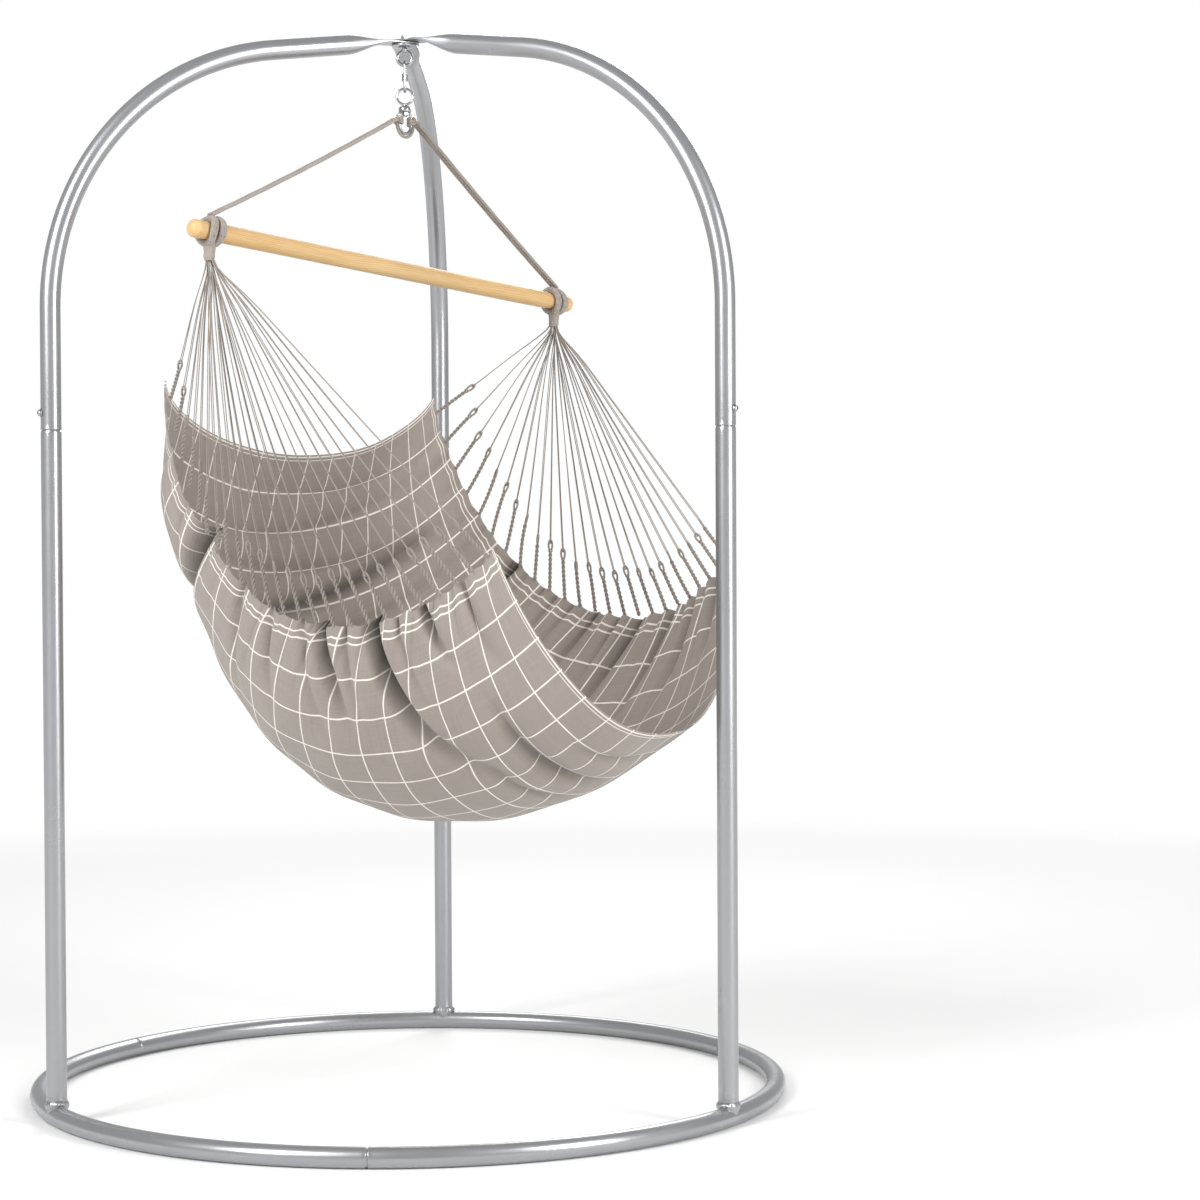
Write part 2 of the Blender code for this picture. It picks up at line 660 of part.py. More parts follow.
def loop_tip(index, sign):
    """Where a loop's eyelet meets its string."""
    place = edge_point((index + 0.5) / STRINGS, sign)
    return place + (apex(sign) - place).normalized() * LOOP_LENGTH


def edge_loops(side, sign):
    """Hem cord on a side edge, with the twisted loops that stand on it."""
    work = bmesh.new()
    half = HEM / 2
    rings = []
    for index in range(STRINGS):
        for share in (index + 0.36, index + 0.64):
            place, along, pull = loop_frame(share / STRINGS, sign)
            out = along.cross(pull)
            rings.append([work.verts.new(place + pull * up * half + out * side_way * half)
                          for up, side_way in ((1, -1), (1, 1), (-1, 1), (-1, -1))])
    work.faces.new(rings[0])
    work.faces.new(rings[-1][::-1])
    for index, (ring, after) in enumerate(zip(rings, rings[1:])):
        walls = [(ring[k], ring[(k + 1) % 4], after[(k + 1) % 4], after[k]) for k in range(4)]
        for number, wall in enumerate(walls):
            if number == 0 and index % 2 == 0:
                tip = loop_tip(index // 2, sign)
                base = sum((corner.co for corner in wall), Vector()) / 4
                raised = []
                for corner in wall:
                    spread = (corner.co - base) * (LOOP_WIDTH / 2 / half)
                    spread.z *= 0.5
                    raised.append(work.verts.new(tip + spread * 0.35))
                work.faces.new(raised)
                for k in range(4):
                    work.faces.new((wall[k], wall[(k + 1) % 4], raised[(k + 1) % 4], raised[k]))
            else:
                work.faces.new(wall)
    bmesh.ops.recalc_face_normals(work, faces=work.faces)
    name = "edge_loops_" + side
    add_object(name, mesh_of(work, name), ROPE, FACING)


def string_fan(side, sign):
    """Whipped neck under the lashing, from which the strings spread to the loops."""
    centre = apex(sign)
    work = bmesh.new()
    tips = [loop_tip(index, sign) for index in range(STRINGS)]
    bearings = [math.atan2(tip.z - centre.z, tip.x - centre.x) for tip in tips]
    bearings = [angle + 2 * math.pi if angle > 0 else angle for angle in bearings]
    splits = [(a + b) / 2 for a, b in zip(bearings, bearings[1:])]
    splits = [2 * bearings[0] - splits[0], *splits, 2 * bearings[-1] - splits[-1]]
    half = STRING_WIDTH / 2
    neck = bar_point(sign * LASHING_Y, -LASHING_R - FIT)
    outline = [neck + Vector((-0.009, 0, 0))]
    outline += [centre + Vector((math.cos(a), 0, math.sin(a))) * APEX_RADIUS for a in splits]
    outline.append(neck + Vector((0.009, 0, 0)))
    shift = Vector((0, half, 0))
    left = [work.verts.new(place - shift) for place in outline]
    right = [work.verts.new(place + shift) for place in outline]
    work.faces.new(left)
    work.faces.new(right[::-1])
    for index in range(len(outline)):
        after = (index + 1) % len(outline)
        wall = (left[index], left[after], right[after], right[index])
        if 1 <= index <= STRINGS:
            tip = tips[index - 1]
            way = (tip - centre).normalized()
            base = sum((corner.co for corner in wall), Vector()) / 4
            end = tip - way * 0.001
            share = STRING_WIDTH / (wall[1].co - wall[0].co).length
            raised = []
            for corner in wall:
                spread = corner.co - base
                spread = Vector((spread.x * share, spread.y, spread.z * share))
                raised.append(work.verts.new(end + spread - way * spread.dot(way)))
            work.faces.new(raised)
            for k in range(4):
                work.faces.new((wall[k], wall[(k + 1) % 4], raised[(k + 1) % 4], raised[k]))
        else:
            work.faces.new(wall)
    bmesh.ops.recalc_face_normals(work, faces=work.faces)
    name = "string_fan_" + side
    add_object(name, mesh_of(work, name), ROPE, FACING)


def chair():
    spreader_bar()
    seat_cloth()
    bridge_cord()
    for side, sign in (("right", -1), ("left", 1)):
        lashing(side, sign)
        suspension(side, sign)
        edge_loops(side, sign)
        string_fan(side, sign)


def main():
    clear_scene()
    stand()
    eye_bolt()
    link()
    swivel_eye()
    swivel_bow()
    chair()


main()
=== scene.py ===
"""Finished surfaces of a hanging chair on its three-legged stand, around the packed frame.

The chair is laid out in its own frame: X is the way the sitter faces, Y is the sitter's left
and Z is up, with the plumb line of the eye bolt as its Z axis. to_row() turns it into place.
"""

import math

import bpy
import numpy as np
from bpy.props import FloatProperty, FloatVectorProperty, IntProperty, PointerProperty
from bpy.types import Operator, Panel, PropertyGroup
from mathutils import Matrix


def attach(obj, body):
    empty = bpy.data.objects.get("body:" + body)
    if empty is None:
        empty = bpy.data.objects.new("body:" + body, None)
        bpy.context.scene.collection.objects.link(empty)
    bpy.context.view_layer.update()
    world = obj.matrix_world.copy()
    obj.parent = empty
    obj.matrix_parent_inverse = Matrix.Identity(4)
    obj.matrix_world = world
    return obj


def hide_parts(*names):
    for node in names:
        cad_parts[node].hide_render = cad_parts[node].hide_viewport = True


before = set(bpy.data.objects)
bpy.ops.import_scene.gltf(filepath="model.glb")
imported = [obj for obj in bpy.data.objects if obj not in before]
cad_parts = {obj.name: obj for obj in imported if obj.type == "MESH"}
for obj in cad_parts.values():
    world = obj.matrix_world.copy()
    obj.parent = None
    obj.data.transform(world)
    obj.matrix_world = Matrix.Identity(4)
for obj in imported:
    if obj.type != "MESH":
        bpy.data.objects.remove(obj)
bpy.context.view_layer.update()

bl_info = {
    "name": "Hanging chair on stand",
    "version": (1, 0, 0),
    "blender": (4, 5, 0),
    "location": "View3D > Sidebar > Hanging chair",
    "description": "Builds the tube stand, its hardware and the cotton chair that hangs from it",
    "category": "Object",
}

LEG_ANGLES = {"front_right": 330.0, "front_left": 210.0, "rear": 90.0}
PLATE_ORDER = {"front_right": 1, "front_left": 0, "rear": -1}  # over and under at the hub
SIDES = {"right": -1.0, "left": 1.0}  # the sitter's right and left
X_AXIS = np.array((1.0, 0.0, 0.0))
Y_AXIS = np.array((0.0, 1.0, 0.0))
UP = np.array((0.0, 0.0, 1.0))
FIT = 0.0003  # clearance between pieces that touch


def size(name, description, default, **more):
    return FloatProperty(name=name, description=description, default=default, unit="LENGTH",
                         precision=4, **more)


def turn_of(name, description, degrees):
    return FloatProperty(name=name, description=description, default=math.radians(degrees),
                         subtype="ANGLE")


def colour(name, description, default):
    return FloatVectorProperty(name=name, description=description, default=default,
                               subtype="COLOR", min=0.0, max=1.0)


class StandSizes(PropertyGroup):
    """Tube stand: base ring, legs and arms."""

    ring_radius: size("Ring radius", "Base ring and legs, to the middle of the tube", 0.720)
    hub_height: size("Hub height", "Middle of the three stacked arm ends", 2.060)
    tube: size("Tube", "Outside diameter of the tube", 0.038)
    wall: size("Wall", "Thickness of the tube's wall", 0.0015)
    arm_straight: size("Arm straight", "Upright part of an arm below its bend", 0.225)
    arm_bend: size("Arm bend", "Bend radius of an arm", 0.515)
    arm_angle: turn_of("Arm angle", "How far an arm is bent over", 82)
    plate_width: size("Plate width", "Flattened end of an arm", 0.050)
    plate_thickness: size("Plate thickness", "Two walls pressed together", 0.0042)
    plate_reach: size("Plate reach", "How far a flattened end passes the hub's middle", 0.030)
    flat_run: size("Flat run", "Hub's middle to the start of the flare", 0.040)
    flare_run: size("Flare run", "Length over which the tube flattens", 0.085)
    swage: size("Swage", "How far a swaged end reaches into the next tube", 0.052)
    pinch: size("Pinch", "Taper where a tube is swaged down", 0.004)
    bead: size("Weld bead", "Height of the bead above the base ring", 0.011)
    screw_rise: size("Screw rise", "Leg screw above the end of the arm", 0.031)
    coat: colour("Coat", "Silver powder coat", (0.37, 0.375, 0.39))


class HardwareSizes(PropertyGroup):
    """Eye bolt, quick link and swivel between the stand and the chair."""

    bolt: size("Bolt", "Eye bolt's shank", 0.008)
    nut_width: size("Nut width", "Across the flats", 0.013)
    nut_height: size("Nut height", "Thickness of the nuts", 0.0065)
    washer: size("Washer", "Thickness of the washers", 0.0016)
    eye_wire: size("Eye wire", "Eye bolt's ring", 0.007)
    eye_inner: size("Eye opening", "Inside the eye bolt's ring", 0.021)
    hang_turn: turn_of("Hang turn", "Plane of the eye bolt's ring from +X", 6)
    link_wire: size("Link wire", "Quick link", 0.006)
    link_width: size("Link width", "Inside the quick link", 0.0134)
    link_length: size("Link length", "Inside the quick link", 0.052)
    sleeve: size("Sleeve", "Length of the link's sleeve", 0.015)
    ring_wire: size("Ring wire", "Swivel's ring", 0.005)
    ring_inner: size("Ring opening", "Inside the swivel's ring", 0.026)
    boss_radius: size("Boss", "Radius of the swivel's boss", 0.0125)
    boss_height: size("Boss height", "Swivel's boss", 0.012)
    bow_wire: size("Bow wire", "Swivel's bow", 0.006)
    bow_half: size("Bow half", "Half the bow's width", 0.017)
    bow_straight: size("Bow straight", "Straight sides of the bow", 0.014)
    steel: colour("Steel", "Bright plated steel", (0.46, 0.46, 0.47))


class ChairSizes(PropertyGroup):
    """Spreader bar, cords and seat cloth."""

    facing: turn_of("Facing", "Way the sitter faces, from +X", -35.5)
    bar_length: size("Bar length", "End to end", 1.120)
    bar: size("Bar", "Diameter of the spreader bar", 0.035)
    bar_drop: size("Bar drop", "Swivel's nut face down to the bar", 0.306)
    bar_tilt: turn_of("Bar tilt", "The sitter's right end hangs higher", 3.5)
    bar_set_back: size("Bar set back", "Bar behind the plumb line", 0.030)
    lashing_inset: size("Lashing inset", "Bar's end to the middle of a lashing", 0.052)
    lashing_build: size("Lashing build", "Thickness of the bands on the bar", 0.007)
    neck: size("Neck", "Whipped neck under a lashing", 0.029)
    cord: size("Cord", "Suspension cord", 0.006)
    sag: size("Sag", "Suspension cord's sag", 0.004)
    strings: IntProperty(name="Strings", description="String pairs on each side", default=24)
    string: size("String", "Thickness of one string", 0.0019)
    loop_length: size("Loop length", "Edge of the cloth to a loop's eyelet", 0.100)
    loop_ply: size("Loop ply", "Each of a loop's two plies", 0.0042)
    cloth_width: size("Cloth width", "Side hem to side hem, laid flat", 1.300)
    cloth_length: size("Cloth length", "Head to knees, laid flat", 1.600)
    check: size("Check", "Spacing of the check's lines", 0.0837)
    hem: size("Hem", "Folded side hem", 0.018)
    pine: colour("Pine", "Pale oiled softwood", (0.71, 0.49, 0.235))
    taupe: colour("Taupe", "Cotton ground", (0.322, 0.282, 0.250))
    line: colour("Line", "Check's off-white thread", (0.92, 0.87, 0.80))
    cord_colour: colour("Cord colour", "Cords and strings", (0.315, 0.275, 0.243))


class StudioLook(PropertyGroup):
    """Floor and lights."""

    backdrop: FloatProperty(name="Backdrop", description="Brightness of the far floor and sky",
                            default=1.0)
    floor: colour("Floor", "Pale floor", (0.90, 0.90, 0.90))
    key: FloatProperty(name="Key", description="Power of the key light", default=185.0,
                       unit="POWER")
    fill: FloatProperty(name="Fill", description="Power of the fill light", default=125.0,
                        unit="POWER")
    rim: FloatProperty(name="Rim", description="Power of the light behind", default=80.0,
                       unit="POWER")


def stand_sizes():
    return bpy.context.scene.hanging_chair_stand


def hardware_sizes():
    return bpy.context.scene.hanging_chair_hardware


def chair_sizes():
    return bpy.context.scene.hanging_chair_seat


# ---- Surfaces ----


def unit(vectors):
    return vectors / np.linalg.norm(vectors, axis=-1, keepdims=True)


def full_turn(count):
    """Evenly spaced angles round a circle, without the last, which is the first again."""
    return 2 * np.pi * np.arange(count) / count


def polar(radius, degrees, height=0.0):
    """Points at that radius and angle about the plumb line, stacked as x, y, z."""
    angle = np.radians(degrees)
    radius, angle, height = np.broadcast_arrays(radius, angle, height)
    return np.stack((radius * np.cos(angle), radius * np.sin(angle), height), -1)


def grid(points, wrap_rows=False, wrap_columns=True, capped=True, uv=None):
    """Faces of a surface given as points in (strand, row, column, xyz) order.

    Neighbouring rows and columns are joined by quads, wrapping where asked, and the first and
    last row can be capped. A surface that encloses a negative volume is turned the right way
    round. UV is metres along the rows, then the share of the way round, unless it is given.
    """
    points = np.asarray(points, float)
    if points.ndim == 3:
        points = points[None]
    strands, rows, columns = points.shape[:3]
    row = np.arange(rows if wrap_rows else rows - 1)[:, None]
    column = np.arange(columns if wrap_columns else columns - 1)[None]
    steps = ((0, 0), (0, 1), (1, 1), (1, 0))
    corner = [(row + down) % rows * columns + (column + over) % columns for down, over in steps]
    quads = np.stack(np.broadcast_arrays(*corner), -1).reshape(-1, 4)
    first = np.arange(strands)[:, None, None] * rows * columns
    quads = (quads[None] + first).reshape(-1, 4)
    if uv is None:
        middle = points.mean(2)
        gaps = np.linalg.norm(np.roll(middle, -1, 1) - middle, axis=-1)
        along = np.concatenate((np.zeros((strands, 1)), gaps.cumsum(1)), 1)
        around = np.arange(columns + 1) / columns
        down = [np.broadcast_to(along[:, row + step], (strands, row.size, column.size))
                for step, _ in steps]
        over = [np.broadcast_to(around[column + step], (strands, row.size, column.size))
                for _, step in steps]
        quad_uv = np.stack((np.stack(down, -1), np.stack(over, -1)), -1).reshape(-1, 2)
        flat_uv = np.stack(np.broadcast_arrays(along[:, :rows, None], around[None, None, :-1]), -1)
        flat_uv = flat_uv.reshape(-1, 2)
    else:
        flat_uv = np.asarray(uv, float).reshape(-1, 2)
        quad_uv = flat_uv[quads.ravel()]
    vertices = points.reshape(-1, 3)
    caps = []
    if capped and not wrap_rows:
        ring = np.arange(columns)
        for strand in range(strands):
            start = strand * rows * columns
            caps += [start + ring[::-1], start + (rows - 1) * columns + ring]
    a, b, c, d = (vertices[quads[:, k]] for k in range(4))
    volume = (np.cross(a, b) * c).sum() + (np.cross(a, c) * d).sum()
    for cap in caps:
        rim = vertices[cap]
        volume += (np.cross(rim[1:-1], rim[2:]) * rim[0]).sum()
    if volume < 0:
        quads = quads[:, ::-1]
        quad_uv = quad_uv.reshape(-1, 4, 2)[:, ::-1].reshape(-1, 2)
        caps = [cap[::-1] for cap in caps]
    cap_uv = [flat_uv[cap] for cap in caps]
    return vertices, quads, quad_uv, caps, cap_uv


def piece(name, grids, material, body, nodes=(), sharp=40):
    """One object of several grids, riding on a body and standing for CAD nodes."""
    vertices = np.concatenate([part[0] for part in grids])
    starts = np.cumsum([0] + [len(part[0]) for part in grids[:-1]])
    quads = np.concatenate([part[1] + start for part, start in zip(grids, starts)])
    caps = [cap + start for part, start in zip(grids, starts) for cap in part[3]]
    uv = np.concatenate([part[2] for part in grids] + [c for part in grids for c in part[4]])
    corners = np.concatenate([quads.ravel(), *caps]).astype(np.int32)
    counts = np.concatenate([np.full(len(quads), 4), [len(cap) for cap in caps]]).astype(np.int32)
    mesh = bpy.data.meshes.new(name)
    mesh.vertices.add(len(vertices))
    mesh.vertices.foreach_set("co", vertices.astype(np.float32).ravel())
    mesh.loops.add(len(corners))
    mesh.loops.foreach_set("vertex_index", corners)
    mesh.polygons.add(len(counts))
    mesh.polygons.foreach_set("loop_start", np.cumsum(counts).astype(np.int32) - counts)
    mesh.update(calc_edges=True)
    mesh.uv_layers.new(name="UVMap").data.foreach_set("uv", uv.astype(np.float32).ravel())
    mesh.shade_smooth()
    mesh.set_sharp_from_angle(angle=math.radians(sharp))
    mesh.materials.append(material)
    made = bpy.data.objects.new(name, mesh)
    bpy.context.scene.collection.objects.link(made)
    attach(made, body)
    if nodes:
        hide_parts(*nodes)
    return made


def section(sides, squareness=2.0):
    """Superellipse as across and lift shares, round at 2 and boxy above it."""
    angle = full_turn(sides)
    power = 2 / np.asarray(squareness, float)[..., None]
    across, lift = np.cos(angle), np.sin(angle)
    return (np.sign(across) * np.abs(across) ** power, np.sign(lift) * np.abs(lift) ** power)


def sweep(centres, across, lift, wide, high, sides=40, squareness=2.0):
    """Section carried along centres: centre + across * wide * cos + lift * high * sin."""
    cosine, sine = section(sides, squareness)
    wide = np.asarray(wide, float)
    high = np.asarray(high, float)
    wide = wide[..., None] if wide.ndim < cosine.ndim or wide.shape[-1:] != (sides,) else wide
    high = high[..., None] if high.ndim < cosine.ndim or high.shape[-1:] != (sides,) else high
    return (centres[..., None, :] + (wide * cosine)[..., None] * across[..., None, :]
            + (high * sine)[..., None] * lift[..., None, :])


def cord_rings(paths, radius, sides=8, reference=UP, closed=False):
    """Round cord square to its path; the reference, made square to it, is its first side.

    The radius may change along the path and round it, as an array of (row, side).
    """
    if closed:
        ahead = np.roll(paths, -1, -2) - np.roll(paths, 1, -2)
    else:
        ahead = np.gradient(paths, axis=-2)
    ahead = unit(ahead)
    reference = np.broadcast_to(reference, paths.shape)
    across = unit(reference - (reference * ahead).sum(-1, keepdims=True) * ahead)
    lift = np.cross(ahead, across)
    angle = full_turn(sides)
    radius = np.broadcast_to(radius, paths.shape[:-1] + (sides,))
    return (paths[..., None, :] + (radius * np.cos(angle))[..., None] * across[..., None, :]
            + (radius * np.sin(angle))[..., None] * lift[..., None, :])


def turned(profile, sides=40, corners=0.0):
    """Profile of (radius, height) turned about Z, as rows of points.

    With corners, no point lies further out than a hexagon of that width across its flats.
    """
    profile = np.asarray(profile, float)
    angle = full_turn(sides)
    radius = np.broadcast_to(profile[:, :1], (len(profile), sides))
    if corners:
        hexagon = corners / 2 / np.cos((angle + np.pi / 6) % (np.pi / 3) - np.pi / 6)
        radius = np.minimum(radius, hexagon)
    height = np.broadcast_to(profile[:, 1:], radius.shape)
    return np.stack((radius * np.cos(angle), radius * np.sin(angle), height), -1)


def place(points, matrix):
    """Points moved by a 4 by 4 matrix."""
    matrix = np.array(matrix)
    return points @ matrix[:3, :3].T + matrix[:3, 3]


def turn_z(points, angle):
    return place(points, Matrix.Rotation(angle, 4, "Z"))


# ---- Materials ----

# Places of the colour sockets on a Mix node, whose sockets share their names between types.
MIX_COLOUR_A, MIX_COLOUR_B, MIX_COLOUR_RESULT = 6, 7, 2


def feed(tree, socket, value):
    """Gives a socket a value, or a link from another node's socket."""
    if isinstance(value, bpy.types.NodeSocket):
        tree.links.new(value, socket)
    else:
        socket.default_value = value


def node(tree, kind, inputs=(), **settings):
    """A node with its settings, and its inputs from values or other nodes' sockets."""
    made = tree.nodes.new(kind)
    for key, value in settings.items():
        setattr(made, key, value)
    for key, value in dict(inputs).items():
        feed(tree, made.inputs[key], value)
    return made


def maths(tree, operation, first, second=0.0, third=0.0):
    found = node(tree, "ShaderNodeMath", {0: first, 1: second, 2: third}, operation=operation)
    return found.outputs[0]


def new_group(name, inputs, outputs):
    """An empty node group with float, colour or vector sockets, its inputs and its outputs."""
    kinds = {"value": "NodeSocketFloat", "colour": "NodeSocketColor", "vector": "NodeSocketVector"}
    tree = bpy.data.node_groups.new(name, "ShaderNodeTree")
    for socket_name, kind, default in inputs:
        socket = tree.interface.new_socket(socket_name, in_out="INPUT", socket_type=kinds[kind])
        if default is not None:
            socket.default_value = default
    for socket_name, kind in outputs:
        tree.interface.new_socket(socket_name, in_out="OUTPUT", socket_type=kinds[kind])
    return tree, node(tree, "NodeGroupInput").outputs, node(tree, "NodeGroupOutput").inputs


def noise(tree, vector, scale, detail=3.0, roughness=0.5):
    made = node(tree, "ShaderNodeTexNoise",
                {"Vector": vector, "Scale": scale, "Detail": detail, "Roughness": roughness})
    return made.outputs["Fac"]


def between(tree, value, low, high, to_low=0.0, to_high=1.0):
    made = node(tree, "ShaderNodeMapRange", {"Value": value, "From Min": low, "From Max": high,
                                             "To Min": to_low, "To Max": to_high})
    return made.outputs["Result"]


def blend_colours(tree, share, first, second):
    made = node(tree, "ShaderNodeMix", {"Factor": share}, data_type="RGBA")
    feed(tree, made.inputs[MIX_COLOUR_A], first)
    feed(tree, made.inputs[MIX_COLOUR_B], second)
    return made.outputs[MIX_COLOUR_RESULT]


def handling_group():
    """Dust and handling: broad soft patches with fine specks in them, from 0 to 1."""
    tree, given, result = new_group(
        "handling",
        [("Vector", "vector", None), ("Patch", "value", 9.0), ("Speck", "value", 400.0)],
        [("Mask", "value"), ("Height", "value")])
    patch = between(tree, noise(tree, given["Vector"], given["Patch"], 4.0), 0.38, 0.68)
    speck = noise(tree, given["Vector"], given["Speck"], 2.0)
    fine = between(tree, speck, 0.45, 0.75)
    tree.links.new(maths(tree, "MULTIPLY_ADD", patch, 0.75, maths(tree, "MULTIPLY", fine, 0.25)),
                   result["Mask"])
    tree.links.new(speck, result["Height"])
    return tree


def weave_group():
    """Plain weave: warp and weft ridges that take turns on top, and slubs along both. Its Shade is
    the slubs' tone times painted shade between the threads.
    """
    tree, given, result = new_group(
        "weave", [("UV", "vector", None), ("Thread", "value", 0.0011)],
        [("Height", "value"), ("Shade", "value")])
    flat = node(tree, "ShaderNodeSeparateXYZ", {0: given["UV"]}).outputs
    turn = [maths(tree, "DIVIDE", maths(tree, "MULTIPLY", flat[axis], math.pi), given["Thread"])
            for axis in (0, 1)]
    ridge = [maths(tree, "ABSOLUTE", maths(tree, "SINE", value)) for value in turn]
    over = maths(tree, "SIGN", maths(tree, "MULTIPLY", maths(tree, "SINE", turn[0]),
                                     maths(tree, "SINE", turn[1])))
    top = maths(tree, "MULTIPLY_ADD", over, 0.5, 0.5)
    warp = maths(tree, "MULTIPLY", ridge[0], top)
    weft = maths(tree, "MULTIPLY", ridge[1], maths(tree, "SUBTRACT", 1.0, top))
    height = maths(tree, "ADD", warp, weft)
    tree.links.new(height, result["Height"])
    slubs = []
    for stretch in ((6.0, 900.0, 1.0), (900.0, 6.0, 1.0)):
        mapped = node(tree, "ShaderNodeMapping", {"Vector": given["UV"], "Scale": stretch})
        slubs.append(noise(tree, mapped.outputs[0], 1.0, 3.0, 0.6))
    slub = maths(tree, "MULTIPLY", maths(tree, "ADD", *slubs), 0.5)
    # painted shade: darker where the threads dip between each other
    depth = between(tree, height, 0.0, 1.0, 0.86, 1.04)
    tree.links.new(maths(tree, "MULTIPLY", between(tree, slub, 0.35, 0.65, 0.86, 1.13), depth),
                   result["Shade"])
    return tree


def check_group():
    """Window-pane check: thin lines at one spacing both ways, and a pair at each border."""
    tree, given, result = new_group(
        "window_check",
        [("UV", "vector", None), ("Spacing", "value", 0.084), ("First", "value", 0.022),
         ("Second", "value", 0.036), ("Selvedge", "value", 0.0045), ("Width", "value", 0.0026),
         ("Half Width", "value", 0.65), ("Half Length", "value", 0.80)],
        [("Line", "value")])
    flat = node(tree, "ShaderNodeSeparateXYZ", {0: given["UV"]}).outputs
    half = maths(tree, "MULTIPLY", given["Width"], 0.5)
    soft = maths(tree, "MULTIPLY", given["Width"], 0.8)

    def stripe(distance):
        return between(tree, distance, soft, half)

    def inward(axis, edge):
        """Distance in from the nearer border along an axis."""
        return maths(tree, "SUBTRACT", edge, maths(tree, "ABSOLUTE",
                     maths(tree, "SUBTRACT", flat[axis], edge)))

    sides, ends = inward(1, given["Half Width"]), inward(0, given["Half Length"])
    lines = []
    for distance, start in ((sides, given["First"]), (ends, given["Selvedge"])):
        share = maths(tree, "DIVIDE", maths(tree, "SUBTRACT", distance, start), given["Spacing"])
        off = maths(tree, "ABSOLUTE", maths(tree, "SUBTRACT", share, maths(tree, "ROUND", share)))
        lines.append(stripe(maths(tree, "MULTIPLY", off, given["Spacing"])))
    for distance, start, narrower in ((sides, given["Second"], 1.0), (ends, 0.0125, 1.8)):
        off = maths(tree, "ABSOLUTE", maths(tree, "SUBTRACT", distance, start))
        lines.append(stripe(maths(tree, "MULTIPLY", off, narrower)))
    found = lines[0]
    for line in lines[1:]:
        found = maths(tree, "MAXIMUM", found, line)
    wear_and_crease_shade = noise(tree, given["UV"], 260.0, 2.0)
    tree.links.new(maths(tree, "MULTIPLY", found, between(tree, wear_and_crease_shade, 0.3, 0.6, 0.78, 1.0)),
                   result["Line"])
    return tree


def twist_group():
    """Laid cord: slanting ridges of its yarns, from metres along it and the share round it. Its
    Shade is painted shade in the grooves between the yarns, times the fuzz's tone.
    """
    tree, given, result = new_group(
        "twist", [("UV", "vector", None), ("Pitch", "value", 0.004), ("Yarns", "value", 3.0),
                  ("Cross", "value", 0.0)],
        [("Height", "value"), ("Shade", "value")])
    flat = node(tree, "ShaderNodeSeparateXYZ", {0: given["UV"]}).outputs
    along = maths(tree, "DIVIDE", flat[0], given["Pitch"])
    around = maths(tree, "MULTIPLY", flat[1], given["Yarns"])
    ridges = []
    for operation in ("ADD", "SUBTRACT"):
        turn = maths(tree, "MULTIPLY", maths(tree, operation, along, around), math.pi)
        ridges.append(maths(tree, "ABSOLUTE", maths(tree, "SINE", turn)))
    crossed = maths(tree, "MAXIMUM", ridges[0], ridges[1])
    ridge = node(tree, "ShaderNodeMix", {"Factor": given["Cross"], "A": ridges[0], "B": crossed})
    height = ridge.outputs["Result"]
    tree.links.new(height, result["Height"])
    fuzz = noise(tree, given["UV"], 700.0, 3.0, 0.7)
    # painted shade: the grooves between the yarns go down to half brightness; the fuzz is the
    # yarns' own tone
    shade = maths(tree, "MULTIPLY", between(tree, height, 0.0, 0.9, 0.5, 1.08),
                  between(tree, fuzz, 0.3, 0.7, 0.85, 1.12))
    tree.links.new(shade, result["Shade"])
    return tree


def grain_group():
    """Softwood: rings round a far-off pith cut along the bar, with fine pores stretched on it."""
    tree, given, result = new_group(
        "pine_grain",
        [("Vector", "vector", None), ("Ring", "value", 260.0), ("Pore", "value", 900.0),
         ("Early", "colour", None), ("Late", "colour", None)],
        [("Colour", "colour"), ("Height", "value")])
    sway = noise(tree, node(tree, "ShaderNodeMapping", {
        "Vector": given["Vector"], "Scale": (9.0, 9.0, 2.2)}).outputs[0], 1.0, 2.0)
    flat = node(tree, "ShaderNodeSeparateXYZ", {0: given["Vector"]}).outputs
    out = maths(tree, "ADD", maths(tree, "MULTIPLY", flat[0], given["Ring"]),
                maths(tree, "MULTIPLY", flat[1], 40.0))
    phase = maths(tree, "MULTIPLY_ADD", sway, 11.0, out)
    ring = maths(tree, "FRACT", phase)
    late = between(tree, ring, 0.55, 1.0)
    pore_map = node(tree, "ShaderNodeMapping", {"Vector": given["Vector"],
                                                "Scale": (1.0, 1.0, 0.02)}).outputs[0]
    pore = noise(tree, pore_map, given["Pore"], 3.0, 0.6)
    broad = noise(tree, node(tree, "ShaderNodeMapping", {
        "Vector": given["Vector"], "Scale": (30.0, 30.0, 1.4)}).outputs[0], 1.0, 3.0)
    mixed = maths(tree, "ADD", maths(tree, "MULTIPLY", late, 0.55),
                  between(tree, pore, 0.4, 0.75, -0.12, 0.42))
    mixed = maths(tree, "ADD", mixed, between(tree, broad, 0.35, 0.65, -0.15, 0.25))
    tree.links.new(blend_colours(tree, mixed, given["Early"], given["Late"]), result["Colour"])
    tree.links.new(maths(tree, "MULTIPLY_ADD", pore, -0.6, late), result["Height"])
    return tree


GROUP_MAKERS = {"handling": handling_group, "weave": weave_group, "window_check": check_group,
                "twist": twist_group, "pine_grain": grain_group}


def use_group(tree, name, inputs):
    """The named shared group in a material's tree, made on first use."""
    if name not in bpy.data.node_groups:
        GROUP_MAKERS[name]()
    made = tree.nodes.new("ShaderNodeGroup")
    made.node_tree = bpy.data.node_groups[name]
    for key, value in inputs.items():
        feed(tree, made.inputs[key], value)
    return made.outputs


def new_material(name, **constants):
    """A material, its tree, its Principled shader, object coordinates and UV map."""
    made = bpy.data.materials.new(name)
    made.use_nodes = True
    tree = made.node_tree
    shader = tree.nodes["Principled BSDF"]
    for key, value in constants.items():
        shader.inputs[key.replace("_", " ").title().replace("Ior", "IOR")].default_value = value
    spots = node(tree, "ShaderNodeTexCoord").outputs
    return made, tree, shader, spots["Object"], spots["UV"]


